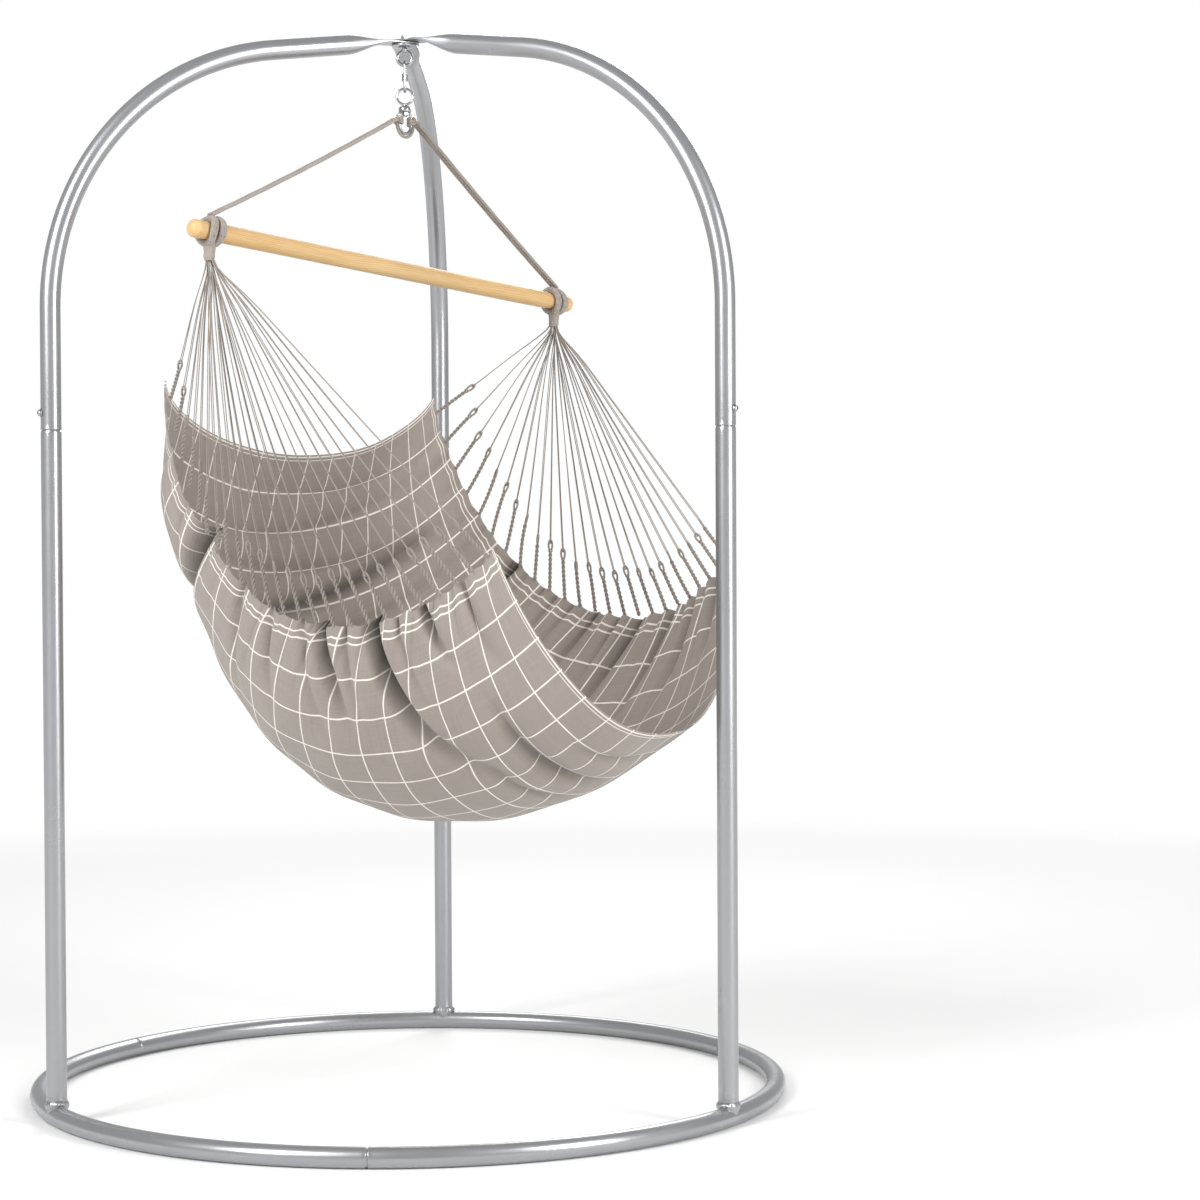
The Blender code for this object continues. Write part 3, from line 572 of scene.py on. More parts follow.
def bump(tree, shader, height, strength, distance, under=None):
    made = node(tree, "ShaderNodeBump", {"Strength": strength, "Distance": distance,
                                         "Height": height})
    if under is not None:
        tree.links.new(under, made.inputs["Normal"])
    tree.links.new(made.outputs[0], shader.inputs["Normal"])
    return made.outputs[0]


def scaled(tree, colour_value, share):
    """A colour times a value that changes over the surface."""
    made = node(tree, "ShaderNodeVectorMath", {0: colour_value, 1: share}, operation="MULTIPLY")
    return made.outputs[0]


def once(maker):
    """Makes a material the first time it is asked for."""
    def found():
        if maker.__name__ not in bpy.data.materials:
            maker()
        return bpy.data.materials[maker.__name__]
    return found


@once
def silver_coat():
    """Satin silver powder coat: fine flake, faint orange peel, slightly duller where handled."""
    _, tree, shader, spot, _ = new_material("silver_coat", metallic=0.82)
    tone = (*stand_sizes().coat, 1)
    marks = use_group(tree, "handling", {"Vector": spot, "Patch": 7.0, "Speck": 1500.0})
    flake = noise(tree, spot, 2600.0, 1.0)
    base = blend_colours(tree, between(tree, flake, 0.35, 0.7), tone,
                         (tone[0] * 1.16, tone[1] * 1.16, tone[2] * 1.16, 1))
    dull = blend_colours(tree, maths(tree, "MULTIPLY", marks["Mask"], 0.22), base,
                         (tone[0] * 0.82, tone[1] * 0.82, tone[2] * 0.82, 1))
    tree.links.new(dull, shader.inputs["Base Color"])
    tree.links.new(between(tree, marks["Mask"], 0.0, 1.0, 0.27, 0.40), shader.inputs["Roughness"])
    peel = bump(tree, shader, noise(tree, spot, 420.0, 2.0), 0.10, 0.0006)
    bump(tree, shader, marks["Height"], 0.05, 0.0002, peel)


@once
def plated_steel():
    """Bright plating with fine drawn scratches and slightly cloudy patches."""
    _, tree, shader, spot, _ = new_material("plated_steel", metallic=1.0)
    tone = (*hardware_sizes().steel, 1)
    marks = use_group(tree, "handling", {"Vector": spot, "Patch": 60.0, "Speck": 1200.0})
    tree.links.new(blend_colours(tree, maths(tree, "MULTIPLY", marks["Mask"], 0.35), tone,
                                 (tone[0] * 0.7, tone[1] * 0.71, tone[2] * 0.72, 1)),
                   shader.inputs["Base Color"])
    tree.links.new(between(tree, marks["Mask"], 0.0, 1.0, 0.16, 0.34), shader.inputs["Roughness"])
    stretched = node(tree, "ShaderNodeMapping", {"Vector": spot, "Scale": (1.0, 1.0, 0.08)})
    bump(tree, shader, noise(tree, stretched.outputs[0], 3200.0, 2.0), 0.12, 0.0002)


@once
def oiled_pine():
    """Pale golden softwood with fine grain along the bar and an oiled sheen."""
    _, tree, shader, spot, _ = new_material("oiled_pine", coat_weight=0.10, coat_roughness=0.35)
    sizes = chair_sizes()
    turn = (0.0, math.pi / 2 + sizes.bar_tilt, math.pi / 2 + sizes.facing)
    along = node(tree, "ShaderNodeMapping", {"Vector": spot, "Rotation": turn},
                 vector_type="TEXTURE")
    early = (*sizes.pine, 1)
    late = (sizes.pine[0] * 0.72, sizes.pine[1] * 0.56, sizes.pine[2] * 0.36, 1)
    wood = use_group(tree, "pine_grain", {"Vector": along.outputs[0], "Early": early, "Late": late})
    tree.links.new(wood["Colour"], shader.inputs["Base Color"])
    tree.links.new(between(tree, wood["Height"], -0.5, 1.0, 0.52, 0.42), shader.inputs["Roughness"])
    bump(tree, shader, wood["Height"], 0.16, 0.0003)


def cotton_cord(name, pitch, yarns, cross, shade_by=1.0):
    """Matt cotton cord whose yarns slant round it, braided where they cross."""
    _, tree, shader, spot, uv = new_material(name, sheen_weight=0.25, sheen_roughness=0.6,
                                             specular_ior_level=0.2, roughness=0.92)
    base = [channel * shade_by for channel in chair_sizes().cord_colour]
    lay = use_group(tree, "twist", {"UV": uv, "Pitch": pitch, "Yarns": yarns, "Cross": cross})
    marks = use_group(tree, "handling", {"Vector": spot, "Patch": 24.0, "Speck": 900.0})
    tint = blend_colours(tree, maths(tree, "MULTIPLY", marks["Mask"], 0.4), (*base, 1),
                         (base[0] * 1.22, base[1] * 1.22, base[2] * 1.22, 1))
    # the twist's Shade paints shade into the grooves between the yarns
    tree.links.new(scaled(tree, tint, lay["Shade"]), shader.inputs["Base Color"])
    bump(tree, shader, lay["Height"], 0.55, pitch * 0.16)


@once
def braided_cord():
    cotton_cord("braided_cord", 0.0042, 4.0, 1.0)


@once
def laid_rope():
    cotton_cord("laid_rope", 0.0032, 2.0, 0.0, 0.92)


@once
def thin_string():
    cotton_cord("thin_string", 0.0022, 1.0, 0.0)


@once
def knitted_band():
    cotton_cord("knitted_band", 0.0034, 9.0, 1.0)


@once
def woven_check():
    """Taupe plain weave with an off-white window-pane check and a little nap; painted shade darkens
    its folds' hollows.
    """
    _, tree, shader, spot, uv = new_material("woven_check", sheen_weight=0.22,
                                             sheen_roughness=0.55, specular_ior_level=0.2,
                                             roughness=0.9)
    sizes = chair_sizes()
    cloth = use_group(tree, "weave", {"UV": uv, "Thread": 0.0012})
    check = use_group(tree, "window_check", {
        "UV": uv, "Spacing": sizes.check, "Half Width": sizes.cloth_width / 2,
        "Half Length": sizes.cloth_length / 2})
    marks = use_group(tree, "handling", {"Vector": spot, "Patch": 5.0, "Speck": 240.0})
    ground = blend_colours(tree, maths(tree, "MULTIPLY", marks["Mask"], 0.35), (*sizes.taupe, 1),
                           (sizes.taupe[0] * 1.10, sizes.taupe[1] * 1.09, sizes.taupe[2] * 1.08, 1))
    dyed = blend_colours(tree, check["Line"], ground, (*sizes.line, 1))
    # painted shade: the crease attribute darkens the colour in the folds' hollows down to 0.3, and
    # the weave's Shade adds painted shade between the threads
    painted_crease_shade = node(tree, "ShaderNodeAttribute", attribute_name="crease").outputs["Fac"]
    shaded = maths(tree, "MULTIPLY", cloth["Shade"], between(tree, painted_crease_shade, 0.05, 0.95, 1.0, 0.30))
    tree.links.new(scaled(tree, dyed, shaded), shader.inputs["Base Color"])
    puckers = noise(tree, spot, 34.0, 6.0, 0.6)
    soft = bump(tree, shader, puckers, 0.45, 0.006)
    bump(tree, shader, cloth["Height"], 0.5, 0.0003, soft)


# ---- Stand ----


def coated(name, points, node_name):
    """A powder-coated piece of the stand that stands for one CAD node."""
    return piece(name, [grid(points)], silver_coat(), "stand", [node_name])


def joint_height():
    """Heights of an arm's joint with its leg and of the start of its bend, and the bend's end."""
    sizes = stand_sizes()
    end_radius = sizes.ring_radius - sizes.arm_bend * (1 - math.cos(sizes.arm_angle))
    bend_z = (sizes.hub_height - sizes.arm_bend * math.sin(sizes.arm_angle)
              - (end_radius - sizes.flat_run) / math.tan(sizes.arm_angle))
    return bend_z - sizes.arm_straight, bend_z, end_radius


def ring_height():
    """Middle of the base ring's tube: its faceted solid rests on a flat."""
    return stand_sizes().tube / 2 * math.cos(math.pi / 12)


def rim(radius, wall):
    """Open tube end, from inside it out over a slightly rolled lip: (reach, radius) rows."""
    lip = 0.00035
    return [(0.026, radius - wall), (0.0006, radius - wall), (0.0, radius - wall * 0.6),
            (0.0001, radius + lip * 0.4), (0.0009, radius + lip), (0.0021, radius + lip * 0.8),
            (0.0034, radius)]


def swaged(radius, wall, shoulder, pinch):
    """Swaged tube end, from the full tube down to the length that enters the next tube."""
    inner = radius - wall - FIT
    return [(-shoulder - pinch * 1.6, radius), (-shoulder - pinch * 0.9, radius - 0.0002),
            (-shoulder - pinch * 0.35, (radius + inner) / 2), (-shoulder, inner)]


def base_arc(place_name, angle):
    """A third of the base ring: a round tube whose middle follows a circle."""
    sizes = stand_sizes()
    radius, ring = sizes.tube / 2, sizes.ring_radius
    per_metre = math.degrees(1 / ring)
    start = [(-60 + reach * per_metre, around) for reach, around in rim(radius, sizes.wall)]
    finish = [(60 + reach * per_metre, around)
              for reach, around in swaged(radius, sizes.wall, 0.0026, sizes.pinch)]
    finish.append((60 + sizes.swage * per_metre, radius - sizes.wall - FIT))
    middle = [(step, radius) for step in np.linspace(-59.2, 59.0, 119)]
    degrees, around = np.array(start + middle + finish).T
    centres = polar(ring, angle + degrees, ring_height())
    across = polar(1.0, angle + degrees)
    points = sweep(centres, across, np.broadcast_to(UP, centres.shape), around, around, 48)
    coated("base_ring_" + place_name, np.maximum(points, (-np.inf, -np.inf, 0.0)),
           "base_arc_" + place_name)


def upright(angle, rows):
    """Round tube standing at a leg, from (height, radius) rows."""
    height, around = np.array(rows).T
    centres = polar(stand_sizes().ring_radius, angle, height)
    across = np.broadcast_to(polar(1.0, angle), centres.shape)
    side = np.broadcast_to(polar(1.0, angle + 90), centres.shape)
    return sweep(centres, across, side, around, around, 48)


def lower_leg(place_name, angle):
    sizes = stand_sizes()
    radius = sizes.tube / 2
    joint = joint_height()[0]
    foot = 2 * ring_height() + sizes.bead
    rows = [(foot + reach, around) for reach, around in rim(radius, sizes.wall)]
    rows += [(height, radius) for height in np.linspace(foot + 0.02, joint - 0.02, 12)]
    rows += [(joint + reach, around)
             for reach, around in swaged(radius, sizes.wall, 0.0009, sizes.pinch)]
    rows.append((joint + sizes.swage, radius - sizes.wall - FIT))
    coated("leg_" + place_name, upright(angle, rows), "lower_leg_" + place_name)


def weld(place_name, angle):
    """Lumpy bead whose top hugs the leg and whose foot follows the base ring's crown."""
    sizes = stand_sizes()
    radius, crown = sizes.tube / 2, 2 * ring_height()
    turn = full_turn(72)
    share = np.linspace(0, 1, 13)[:, None]
    lump = 0.0007 * np.sin(11 * turn + 0.6) + 0.0005 * np.sin(19 * turn + 2.0)
    bulge = np.sin(np.pi * np.clip(share * 1.15, 0, 1)) * (0.0036 + lump)
    out = radius - 0.0004 + bulge
    low_x, low_y = 0.95 * radius * np.cos(turn), (radius + 0.003) * np.sin(turn)
    low_z = ring_height() + np.sqrt(radius ** 2 - low_x ** 2) - 0.0012
    x = (1 - share) * out * np.cos(turn) + share * (low_x + bulge * np.cos(turn))
    y = (1 - share) * out * np.sin(turn) + share * (low_y + bulge * np.sin(turn))
    z = (crown + sizes.bead) * (1 - share) + low_z * share
    local = np.stack(np.broadcast_arrays(x, y, z), -1)
    turned_points = turn_z(local, math.radians(angle)) + polar(sizes.ring_radius, angle)
    coated("leg_weld_" + place_name, turned_points, "leg_spigot_" + place_name)


def arm_rows():
    """Rows up an arm: radius from the hub, height below the hub, slope and flatness."""
    sizes = stand_sizes()
    joint, bend_z, end_radius = joint_height()
    full = sizes.arm_angle
    rows = [(sizes.ring_radius, height, 0.0, 0.0)
            for height in np.linspace(joint + 0.01, bend_z, 6)]
    for slope in np.linspace(0, full, 49)[1:]:
        rows.append((sizes.ring_radius - sizes.arm_bend * (1 - math.cos(slope)),
                     bend_z + sizes.arm_bend * math.sin(slope), slope, 0.0))
    end_z = rows[-1][1]
    flare_start = sizes.flat_run + sizes.flare_run
    for radius in np.linspace(end_radius, flare_start, 6)[1:-1]:
        share = (end_radius - radius) / (end_radius - sizes.flat_run)
        rows.append((radius, end_z + (sizes.hub_height - end_z) * share, full, 0.0))
    for step in np.linspace(0, 1, 17):
        radius = flare_start - sizes.flare_run * step
        share = (end_radius - radius) / (end_radius - sizes.flat_run)
        rows.append((radius, end_z + (sizes.hub_height - end_z) * share,
                     full + (math.pi / 2 - full) * step, step * step * (3 - 2 * step)))
    for radius in np.linspace(sizes.flat_run, -sizes.plate_reach + sizes.plate_width / 2, 6)[1:]:
        rows.append((radius, sizes.hub_height, math.pi / 2, 1.0))
    return np.array(rows)


def arm(place_name, angle):
    """Bent tube pressed flat at the hub, with the lips that its folded walls leave."""
    sizes = stand_sizes()
    radius = sizes.tube / 2
    joint = joint_height()[0]
    rows = arm_rows()
    ends = np.array([(sizes.ring_radius, joint + reach, 0.0, 0.0)
                     for reach, _ in rim(radius, sizes.wall)])
    wide_end = [around for _, around in rim(radius, sizes.wall)]
    inset = 1 - np.sin(np.linspace(0, 1, 9) * np.pi / 2)
    half = sizes.plate_width / 2
    tip = np.stack((-sizes.plate_reach + inset[1:] * half, np.full(8, sizes.hub_height),
                    np.full(8, math.pi / 2), np.ones(8)), -1)
    share = np.sqrt(1 - (1 - inset[1:]) ** 2)
    share[-1] = 0.16
    rows = np.concatenate((ends, rows, tip))
    flat = rows[:, 3]
    wide = radius + (half - radius) * flat
    wide[:len(ends)] = wide_end
    wide[-8:] *= share
    high = radius + (sizes.plate_thickness / 2 - radius) * flat
    high[:len(ends)] = wide_end
    level = PLATE_ORDER[place_name] * (sizes.plate_thickness + FIT)
    lifted = (rows[:, 0] < sizes.flat_run + sizes.flare_run)
    run = np.clip((sizes.flat_run + sizes.flare_run - rows[:, 0]) / sizes.flare_run, 0, 1)
    height = rows[:, 1] + level * np.where(lifted, run, 0.0)
    centres = polar(rows[:, 0], angle, height)
    slope = rows[:, 2][:, None]
    normal = polar(1.0, angle) * np.cos(slope) + UP * np.sin(slope)
    side = np.broadcast_to(polar(1.0, angle + 90), centres.shape)
    turn = full_turn(56)
    lip = 1 + 0.42 * flat[:, None] * np.abs(np.cos(turn)) ** 14
    lip[-8:] = 1 + (lip[-8:] - 1) * share[:, None]
    wide = np.broadcast_to(wide[:, None], lip.shape)
    points = sweep(centres, side, normal, wide, high[:, None] * lip, 56, 2 + 3 * flat)
    coated("arm_tube_" + place_name, points, "arm_" + place_name)


def radial_matrix(angle, height):
    """Turns Z outwards at a leg, at that height, from the middle of the leg."""
    shift = Matrix.Translation((*polar(stand_sizes().ring_radius, angle)[:2], height))
    return shift @ Matrix.Rotation(math.radians(angle), 4, "Z") @ Matrix.Rotation(
        math.pi / 2, 4, "Y")


def leg_screw(place_name, angle):
    """Domed screw with a hexagon socket, on its washer, pinning an arm to its leg."""
    sizes, metal = stand_sizes(), hardware_sizes()
    seat = sizes.tube / 2 + FIT + metal.washer + FIT
    matrix = radial_matrix(angle, joint_height()[0] + sizes.screw_rise)
    dome = [(0.006 * math.cos(rise), seat + 0.0008 + 0.0040 * math.sin(rise))
            for rise in np.linspace(0, 1.22, 9)]
    head = [(0.003, seat - 0.012), (0.003, seat), (0.0058, seat), (0.006, seat + 0.0004), *dome]
    socket = [(0.0020, dome[-1][1]), (0.0019, dome[-1][1] - 0.0002), (0.0019, seat + 0.0022),
              (0.0006, seat + 0.0018)]
    rows = np.array(head)[::-1]
    points = np.concatenate((turned(socket, 36, 0.0034)[::-1], turned(rows, 36)))
    piece("leg_screw_head_" + place_name, [grid(place(points, matrix))], plated_steel(), "stand",
          ["leg_screw_" + place_name])
    low, high = sizes.tube / 2 + FIT * 0.5, seat - FIT
    rows = [(0.0033, high), (0.0072, high), (0.00768, high - 0.0004), (0.00768, low + 0.0002),
            (0.0074, low), (0.0033, low)]
    piece("leg_screw_washer_" + place_name,
          [grid(place(turned(rows, 36), matrix), wrap_rows=True)], plated_steel(), "stand",
          ["leg_washer_" + place_name])


# ---- Hardware ----


def heights():
    """Heights down the chain of hardware, from the hub to the knots on the bow."""
    stand, metal = stand_sizes(), hardware_sizes()
    stack = 1.5 * stand.plate_thickness + 2 * FIT
    eye_r = (metal.eye_inner + metal.eye_wire) / 2
    eye = stand.hub_height - stack - metal.washer - FIT - 0.002 - eye_r - metal.eye_wire / 2
    link_top = eye - metal.eye_inner / 2 + metal.link_wire / 2 + FIT
    link_low = link_top - metal.link_length - metal.link_wire
    ring_r = (metal.ring_inner + metal.ring_wire) / 2
    ring = link_low + metal.link_wire / 2 + metal.ring_wire / 2 + FIT - ring_r
    boss_top = ring - ring_r - metal.ring_wire / 2 - FIT
    boss_low = boss_top - metal.boss_height
    bow_arc = (boss_top + boss_low) / 2 - metal.bow_half
    return {"stack": stack, "eye_r": eye_r, "eye": eye, "link_top": link_top,
            "link_low": link_low, "ring_r": ring_r, "ring": ring, "boss_top": boss_top,
            "boss_low": boss_low, "bow_arc": bow_arc, "knot": bow_arc - metal.bow_straight / 2}


def steel(name, grids, body, node_name, sharp=40):
    return piece(name, grids, plated_steel(), body, [node_name], sharp)


def wire_ring(radius, wire, height, turn):
    """Round ring of round wire, standing upright in a plane turned from +X."""
    angle = full_turn(72)
    path = np.stack((radius * np.cos(angle), 0 * angle, height + radius * np.sin(angle)), -1)
    rings = cord_rings(path, wire / 2, 20, Y_AXIS, closed=True)
    return grid(turn_z(rings, turn), wrap_rows=True)


def nut(across_flats, hole, low, high):
    """Hexagon nut with both faces chamfered to a circle."""
    wide = across_flats / 2
    corner = wide / math.cos(math.pi / 6)
    chamfer = (corner - wide) * 0.62
    rows = [(hole, high - 0.0004), (hole + 0.0004, high), (wide * 0.98, high),
            (corner, high - chamfer), (corner, low + chamfer), (wide * 0.98, low),
            (hole + 0.0004, low), (hole, low + 0.0004)]
    return turned(rows, 72, across_flats)


def thread(radius, pitch, low, high, crest=0.00035):
    """Screw thread: the radius rises and falls once a pitch, shifted by the angle round it."""
    height = np.linspace(high, low, 26)[:, None]
    angle = full_turn(48)
    wave = np.abs(((height / pitch + angle / (2 * np.pi)) % 1) * 2 - 1)
    around = radius - crest * wave
    top = np.array([0.25, 0.9])[:, None] * around[:1]
    around = np.concatenate((top, around))
    height = np.concatenate((height[:1] + 0.0006, height[:1] + 0.0004, height))
    spots = np.broadcast_arrays(around * np.cos(angle), around * np.sin(angle), height)
    return grid(np.stack(spots, -1))


def hub_bolt():
    """Eye bolt through the three plates, with its washers and its nut."""
    stand, metal, level = stand_sizes(), hardware_sizes(), heights()
    top = stand.hub_height + level["stack"] + metal.washer + FIT
    low = stand.hub_height - level["stack"]
    nut_low = top + FIT
    end = nut_low + metal.nut_height + 0.002
    neck_low = level["eye"] + level["eye_r"]
    shank = metal.bolt / 2
    collar = [(shank * 1.02, low - metal.washer - 0.0002),
              (shank * 1.35, low - metal.washer - 0.001),
              (shank * 1.3, neck_low), (shank * 0.9, neck_low - 0.002)]
    grids = [wire_ring(level["eye_r"], metal.eye_wire, level["eye"], metal.hang_turn),
             grid(turned(collar)), thread(shank, 0.00125, neck_low, end)]
    steel("hub_eye_bolt", grids, "stand", "eye_bolt")
    wide = metal.bolt * 1.5
    for name, high in (("top", top), ("bottom", low)):
        base = high - metal.washer
        rows = [(shank + FIT, high), (wide - 0.0005, high), (wide, high - 0.0004),
                (wide, base + 0.0002), (wide - 0.0002, base), (shank + FIT, base)]
        steel("hub_plain_washer_" + name, [grid(turned(rows), wrap_rows=True)], "stand",
              "hub_washer_" + name)
    hexagon = nut(metal.nut_width, shank + FIT * 0.5, nut_low, nut_low + metal.nut_height)
    steel("hub_hex_nut", [grid(hexagon, wrap_rows=True)], "stand", "hub_nut", 30)


def quick_link():
    """Oval link of round wire, closed by a threaded sleeve with six flats."""
    metal, level = hardware_sizes(), heights()
    radius = (metal.link_width + metal.link_wire) / 2
    middle = (level["link_top"] + level["link_low"]) / 2
    half = (level["link_top"] - level["link_low"]) / 2 - radius
    angle = np.linspace(0, -np.pi, 25)
    low = np.stack((radius * np.cos(angle), middle - half + radius * np.sin(angle)), -1)
    high = np.stack((radius * np.cos(angle + np.pi),
                     middle + half + radius * np.sin(angle + np.pi)), -1)
    gap = 0.004
    flat = np.concatenate(([(radius, middle - gap)], low, high, [(radius, middle + gap)]))
    path = np.stack((flat[:, 0], 0 * flat[:, 0], flat[:, 1]), -1)
    turn = metal.hang_turn + math.pi / 2
    wire = cord_rings(path, metal.link_wire / 2, 20, Y_AXIS)
    grids = [grid(turn_z(wire, turn))]
    for start in (-1, 1):
        reach = sorted((middle + start * gap, middle + start * (metal.sleeve / 2 + 0.006)))
        ridge = thread(metal.link_wire / 2 + 0.0003, 0.001, *reach)
        shifted = ridge[0] + (radius, 0.0, 0.0)
        grids.append((turn_z(shifted, turn), *ridge[1:]))
    steel("quick_link_body", grids, "link", "link_body")
    hexagon = nut(0.010, metal.link_wire / 2 + FIT * 1.4, middle - metal.sleeve / 2,
                  middle + metal.sleeve / 2)
    grids = [grid(turn_z(hexagon + (radius, 0.0, 0.0), turn), wrap_rows=True)]
    steel("quick_link_sleeve", grids, "sleeve", "link_sleeve", 30)


def swivel():
    """Ring with its stem and nut, turning in the domed boss of a closed bow."""
    metal, level = hardware_sizes(), heights()
    nut_high = level["boss_low"] - FIT
    nut_low = nut_high - metal.nut_height
    stem = 0.004
    grids = [wire_ring(level["ring_r"], metal.ring_wire, level["ring"], metal.hang_turn),
             grid(turned([(stem * 0.5, level["ring"] - level["ring_r"] + 0.001),
                          (stem, level["ring"] - level["ring_r"]), (stem, nut_low - 0.0012),
                          (stem * 1.15, nut_low - 0.0014), (stem * 0.9, nut_low - 0.002),
                          (stem * 0.3, nut_low - 0.0024)]))]
    steel("swivel_ring_and_stem", grids, "swivel", "swivel_eye")
    hexagon = nut(metal.nut_width, stem + FIT, nut_low, nut_high)
    steel("swivel_hex_nut", [grid(hexagon, wrap_rows=True)], "swivel", "swivel_nut", 30)
    angle = np.linspace(0, np.pi, 33)
    half, arc = metal.bow_half, level["bow_arc"]
    top = np.stack((0 * angle, half * np.cos(angle), arc + half * np.sin(angle)), -1)
    low = np.stack((0 * angle, -half * np.cos(angle),
                    arc - metal.bow_straight - half * np.sin(angle)), -1)
    path = np.concatenate((top, low))
    facing = chair_sizes().facing
    wire = cord_rings(path, metal.bow_wire / 2, 20, X_AXIS, closed=True)
    dome, high, base = metal.boss_radius, level["boss_top"], level["boss_low"]
    rise = np.linspace(np.pi / 2, 0.12, 9)
    rows = [(stem + FIT, high)]
    rows += [(stem + FIT + 0.001 + (dome - stem - FIT - 0.001) * math.cos(angle_up),
              high - 0.007 + 0.0069 * math.sin(angle_up)) for angle_up in rise]
    rows += [(dome, high - 0.0075), (dome * 0.97, base + 0.001), (dome * 0.9, base),
             (stem + FIT, base)]
    grids = [grid(turn_z(wire, facing), wrap_rows=True),
             grid(turned(rows), wrap_rows=True)]
    steel("swivel_bow_and_boss", grids, "chair", "swivel_bow")


# ---- Chair: where things are ----


def bar_height():
    return heights()["boss_low"] - chair_sizes().bar_drop


def to_row(points):
    """Points of the chair's own frame, turned to the way that it faces."""
    return turn_z(points, chair_sizes().facing)


def bar_point(along, rise=0.0, forward=0.0):
    """Point along the tilted bar, square above it, and ahead of it."""
    sizes = chair_sizes()
    tilt = sizes.bar_tilt
    x = forward - sizes.bar_set_back
    y = along * np.cos(tilt) + rise * np.sin(tilt)
    z = bar_height() - along * np.sin(tilt) + rise * np.cos(tilt)
    return np.stack(np.broadcast_arrays(x, y, z), -1)


def lashing_along():
    sizes = chair_sizes()
    return sizes.bar_length / 2 - sizes.lashing_inset


def lashing_radius():
    return chair_sizes().bar / 2 + chair_sizes().lashing_build


def apex(sign):
    """Lower end of the neck, where the strings part."""
    return bar_point(sign * lashing_along(), -lashing_radius() - chair_sizes().neck)


def bezier(points, share):
    """Cubic curve of four (x, z) points, at each share."""
    share = np.asarray(share, float)[..., None]
    rest = 1 - share
    first, second, third, last = (np.array(point) for point in points)
    return (first * rest ** 3 + second * 3 * rest ** 2 * share
            + third * 3 * rest * share ** 2 + last * share ** 3)


HEAD_CORNER = (-0.265, -0.227)
KNEE_CORNER = (0.517, -0.551)
SIDE_EDGE = (HEAD_CORNER, (-0.140, -0.770), (0.340, -0.770), KNEE_CORNER)
MIDDLE_LINE = ((-0.295, -0.361), (-0.560, -1.010), (0.070, -1.300), (0.630, -0.896))
HEAD_WIDTH, KNEE_WIDTH, SEAT_WIDTH = 0.776, 0.720, 0.880
KNOT_REACH = 0.010  # the bow's middle to the inner side of a suspension cord's start


def half_width(share):
    """Half the distance between the side edges, from the head at 0 to the knees at 1."""
    ends = HEAD_WIDTH + (KNEE_WIDTH - HEAD_WIDTH) * share
    return (ends + (SEAT_WIDTH - ends) * np.sin(np.pi * share)) / 2


def hung_point(share, across):
    """Hung cloth without its folds, from one side edge at -1 round under the sitter to 1."""
    edge = bezier(SIDE_EDGE, share)
    middle = bezier(MIDDLE_LINE, share)
    swing = 0.65 * np.sin(np.pi / 2 * across) + 0.35 * across
    climb = 0.65 * (1 - np.cos(np.pi / 2 * across)) + 0.35 * across ** 2
    flat = middle + (edge - middle) * climb[..., None]
    return np.stack((flat[..., 0], half_width(share) * swing, flat[..., 1] + bar_height()), -1)


def edge_point(share, sign):
    share = np.asarray(share, float)
    return hung_point(share, np.full_like(share, sign))


def loop_shares():
    """Where the loops stand along a side edge."""
    count = chair_sizes().strings
    return (np.arange(count) + 0.5) / count


def loop_lengths(sign):
    """Length of each loop: no two were twisted quite alike."""
    sizes = chair_sizes()
    uneven = np.random.default_rng(21 + int(sign)).uniform(-0.010, 0.010, sizes.strings)
    return (sizes.loop_length + uneven)[:, None]


def loop_ways(sign):
    """Foot of each loop on the edge, the way it pulls and the way along the edge."""
    share = loop_shares()
    foot = edge_point(share, sign)
    pull = unit(apex(sign) - foot)
    along = edge_point(share + 0.01, sign) - edge_point(share - 0.01, sign)
    along = unit(along - (along * pull).sum(-1, keepdims=True) * pull)
    return foot, pull, along


# ---- Chair: pieces ----


def spreader_bar():
    """Turned bar with rounded knobs outside shallow necks where the lashings sit."""
    sizes = chair_sizes()
    radius, half = sizes.bar / 2, sizes.bar_length / 2
    knob = [(radius * 0.99 * math.sin(angle), half - radius * 0.86 * (1 - math.cos(angle)))
            for angle in np.linspace(0.07, np.pi / 2, 16)]
    neck = half - sizes.lashing_inset
    end = knob + [(radius * 0.985, neck + 0.030), (radius * 0.93, neck + 0.024),
                  (radius * 0.92, neck), (radius * 0.93, neck - 0.024), (radius, neck - 0.032)]
    rows = end + [(radius, height) for height in np.linspace(neck - 0.05, -neck + 0.05, 24)]
    rows += [(around, -height) for around, height in end[::-1]]
    around, along = np.array(rows).T
    angle = full_turn(48)
    ripple = 1 + 0.004 * np.sin(along * 23)[:, None]
    points = bar_point(along[:, None], around[:, None] * ripple * np.cos(angle),
                       around[:, None] * ripple * np.sin(angle))
    piece("pine_bar", [grid(to_row(points))], oiled_pine(), "chair", ["spreader_bar"])


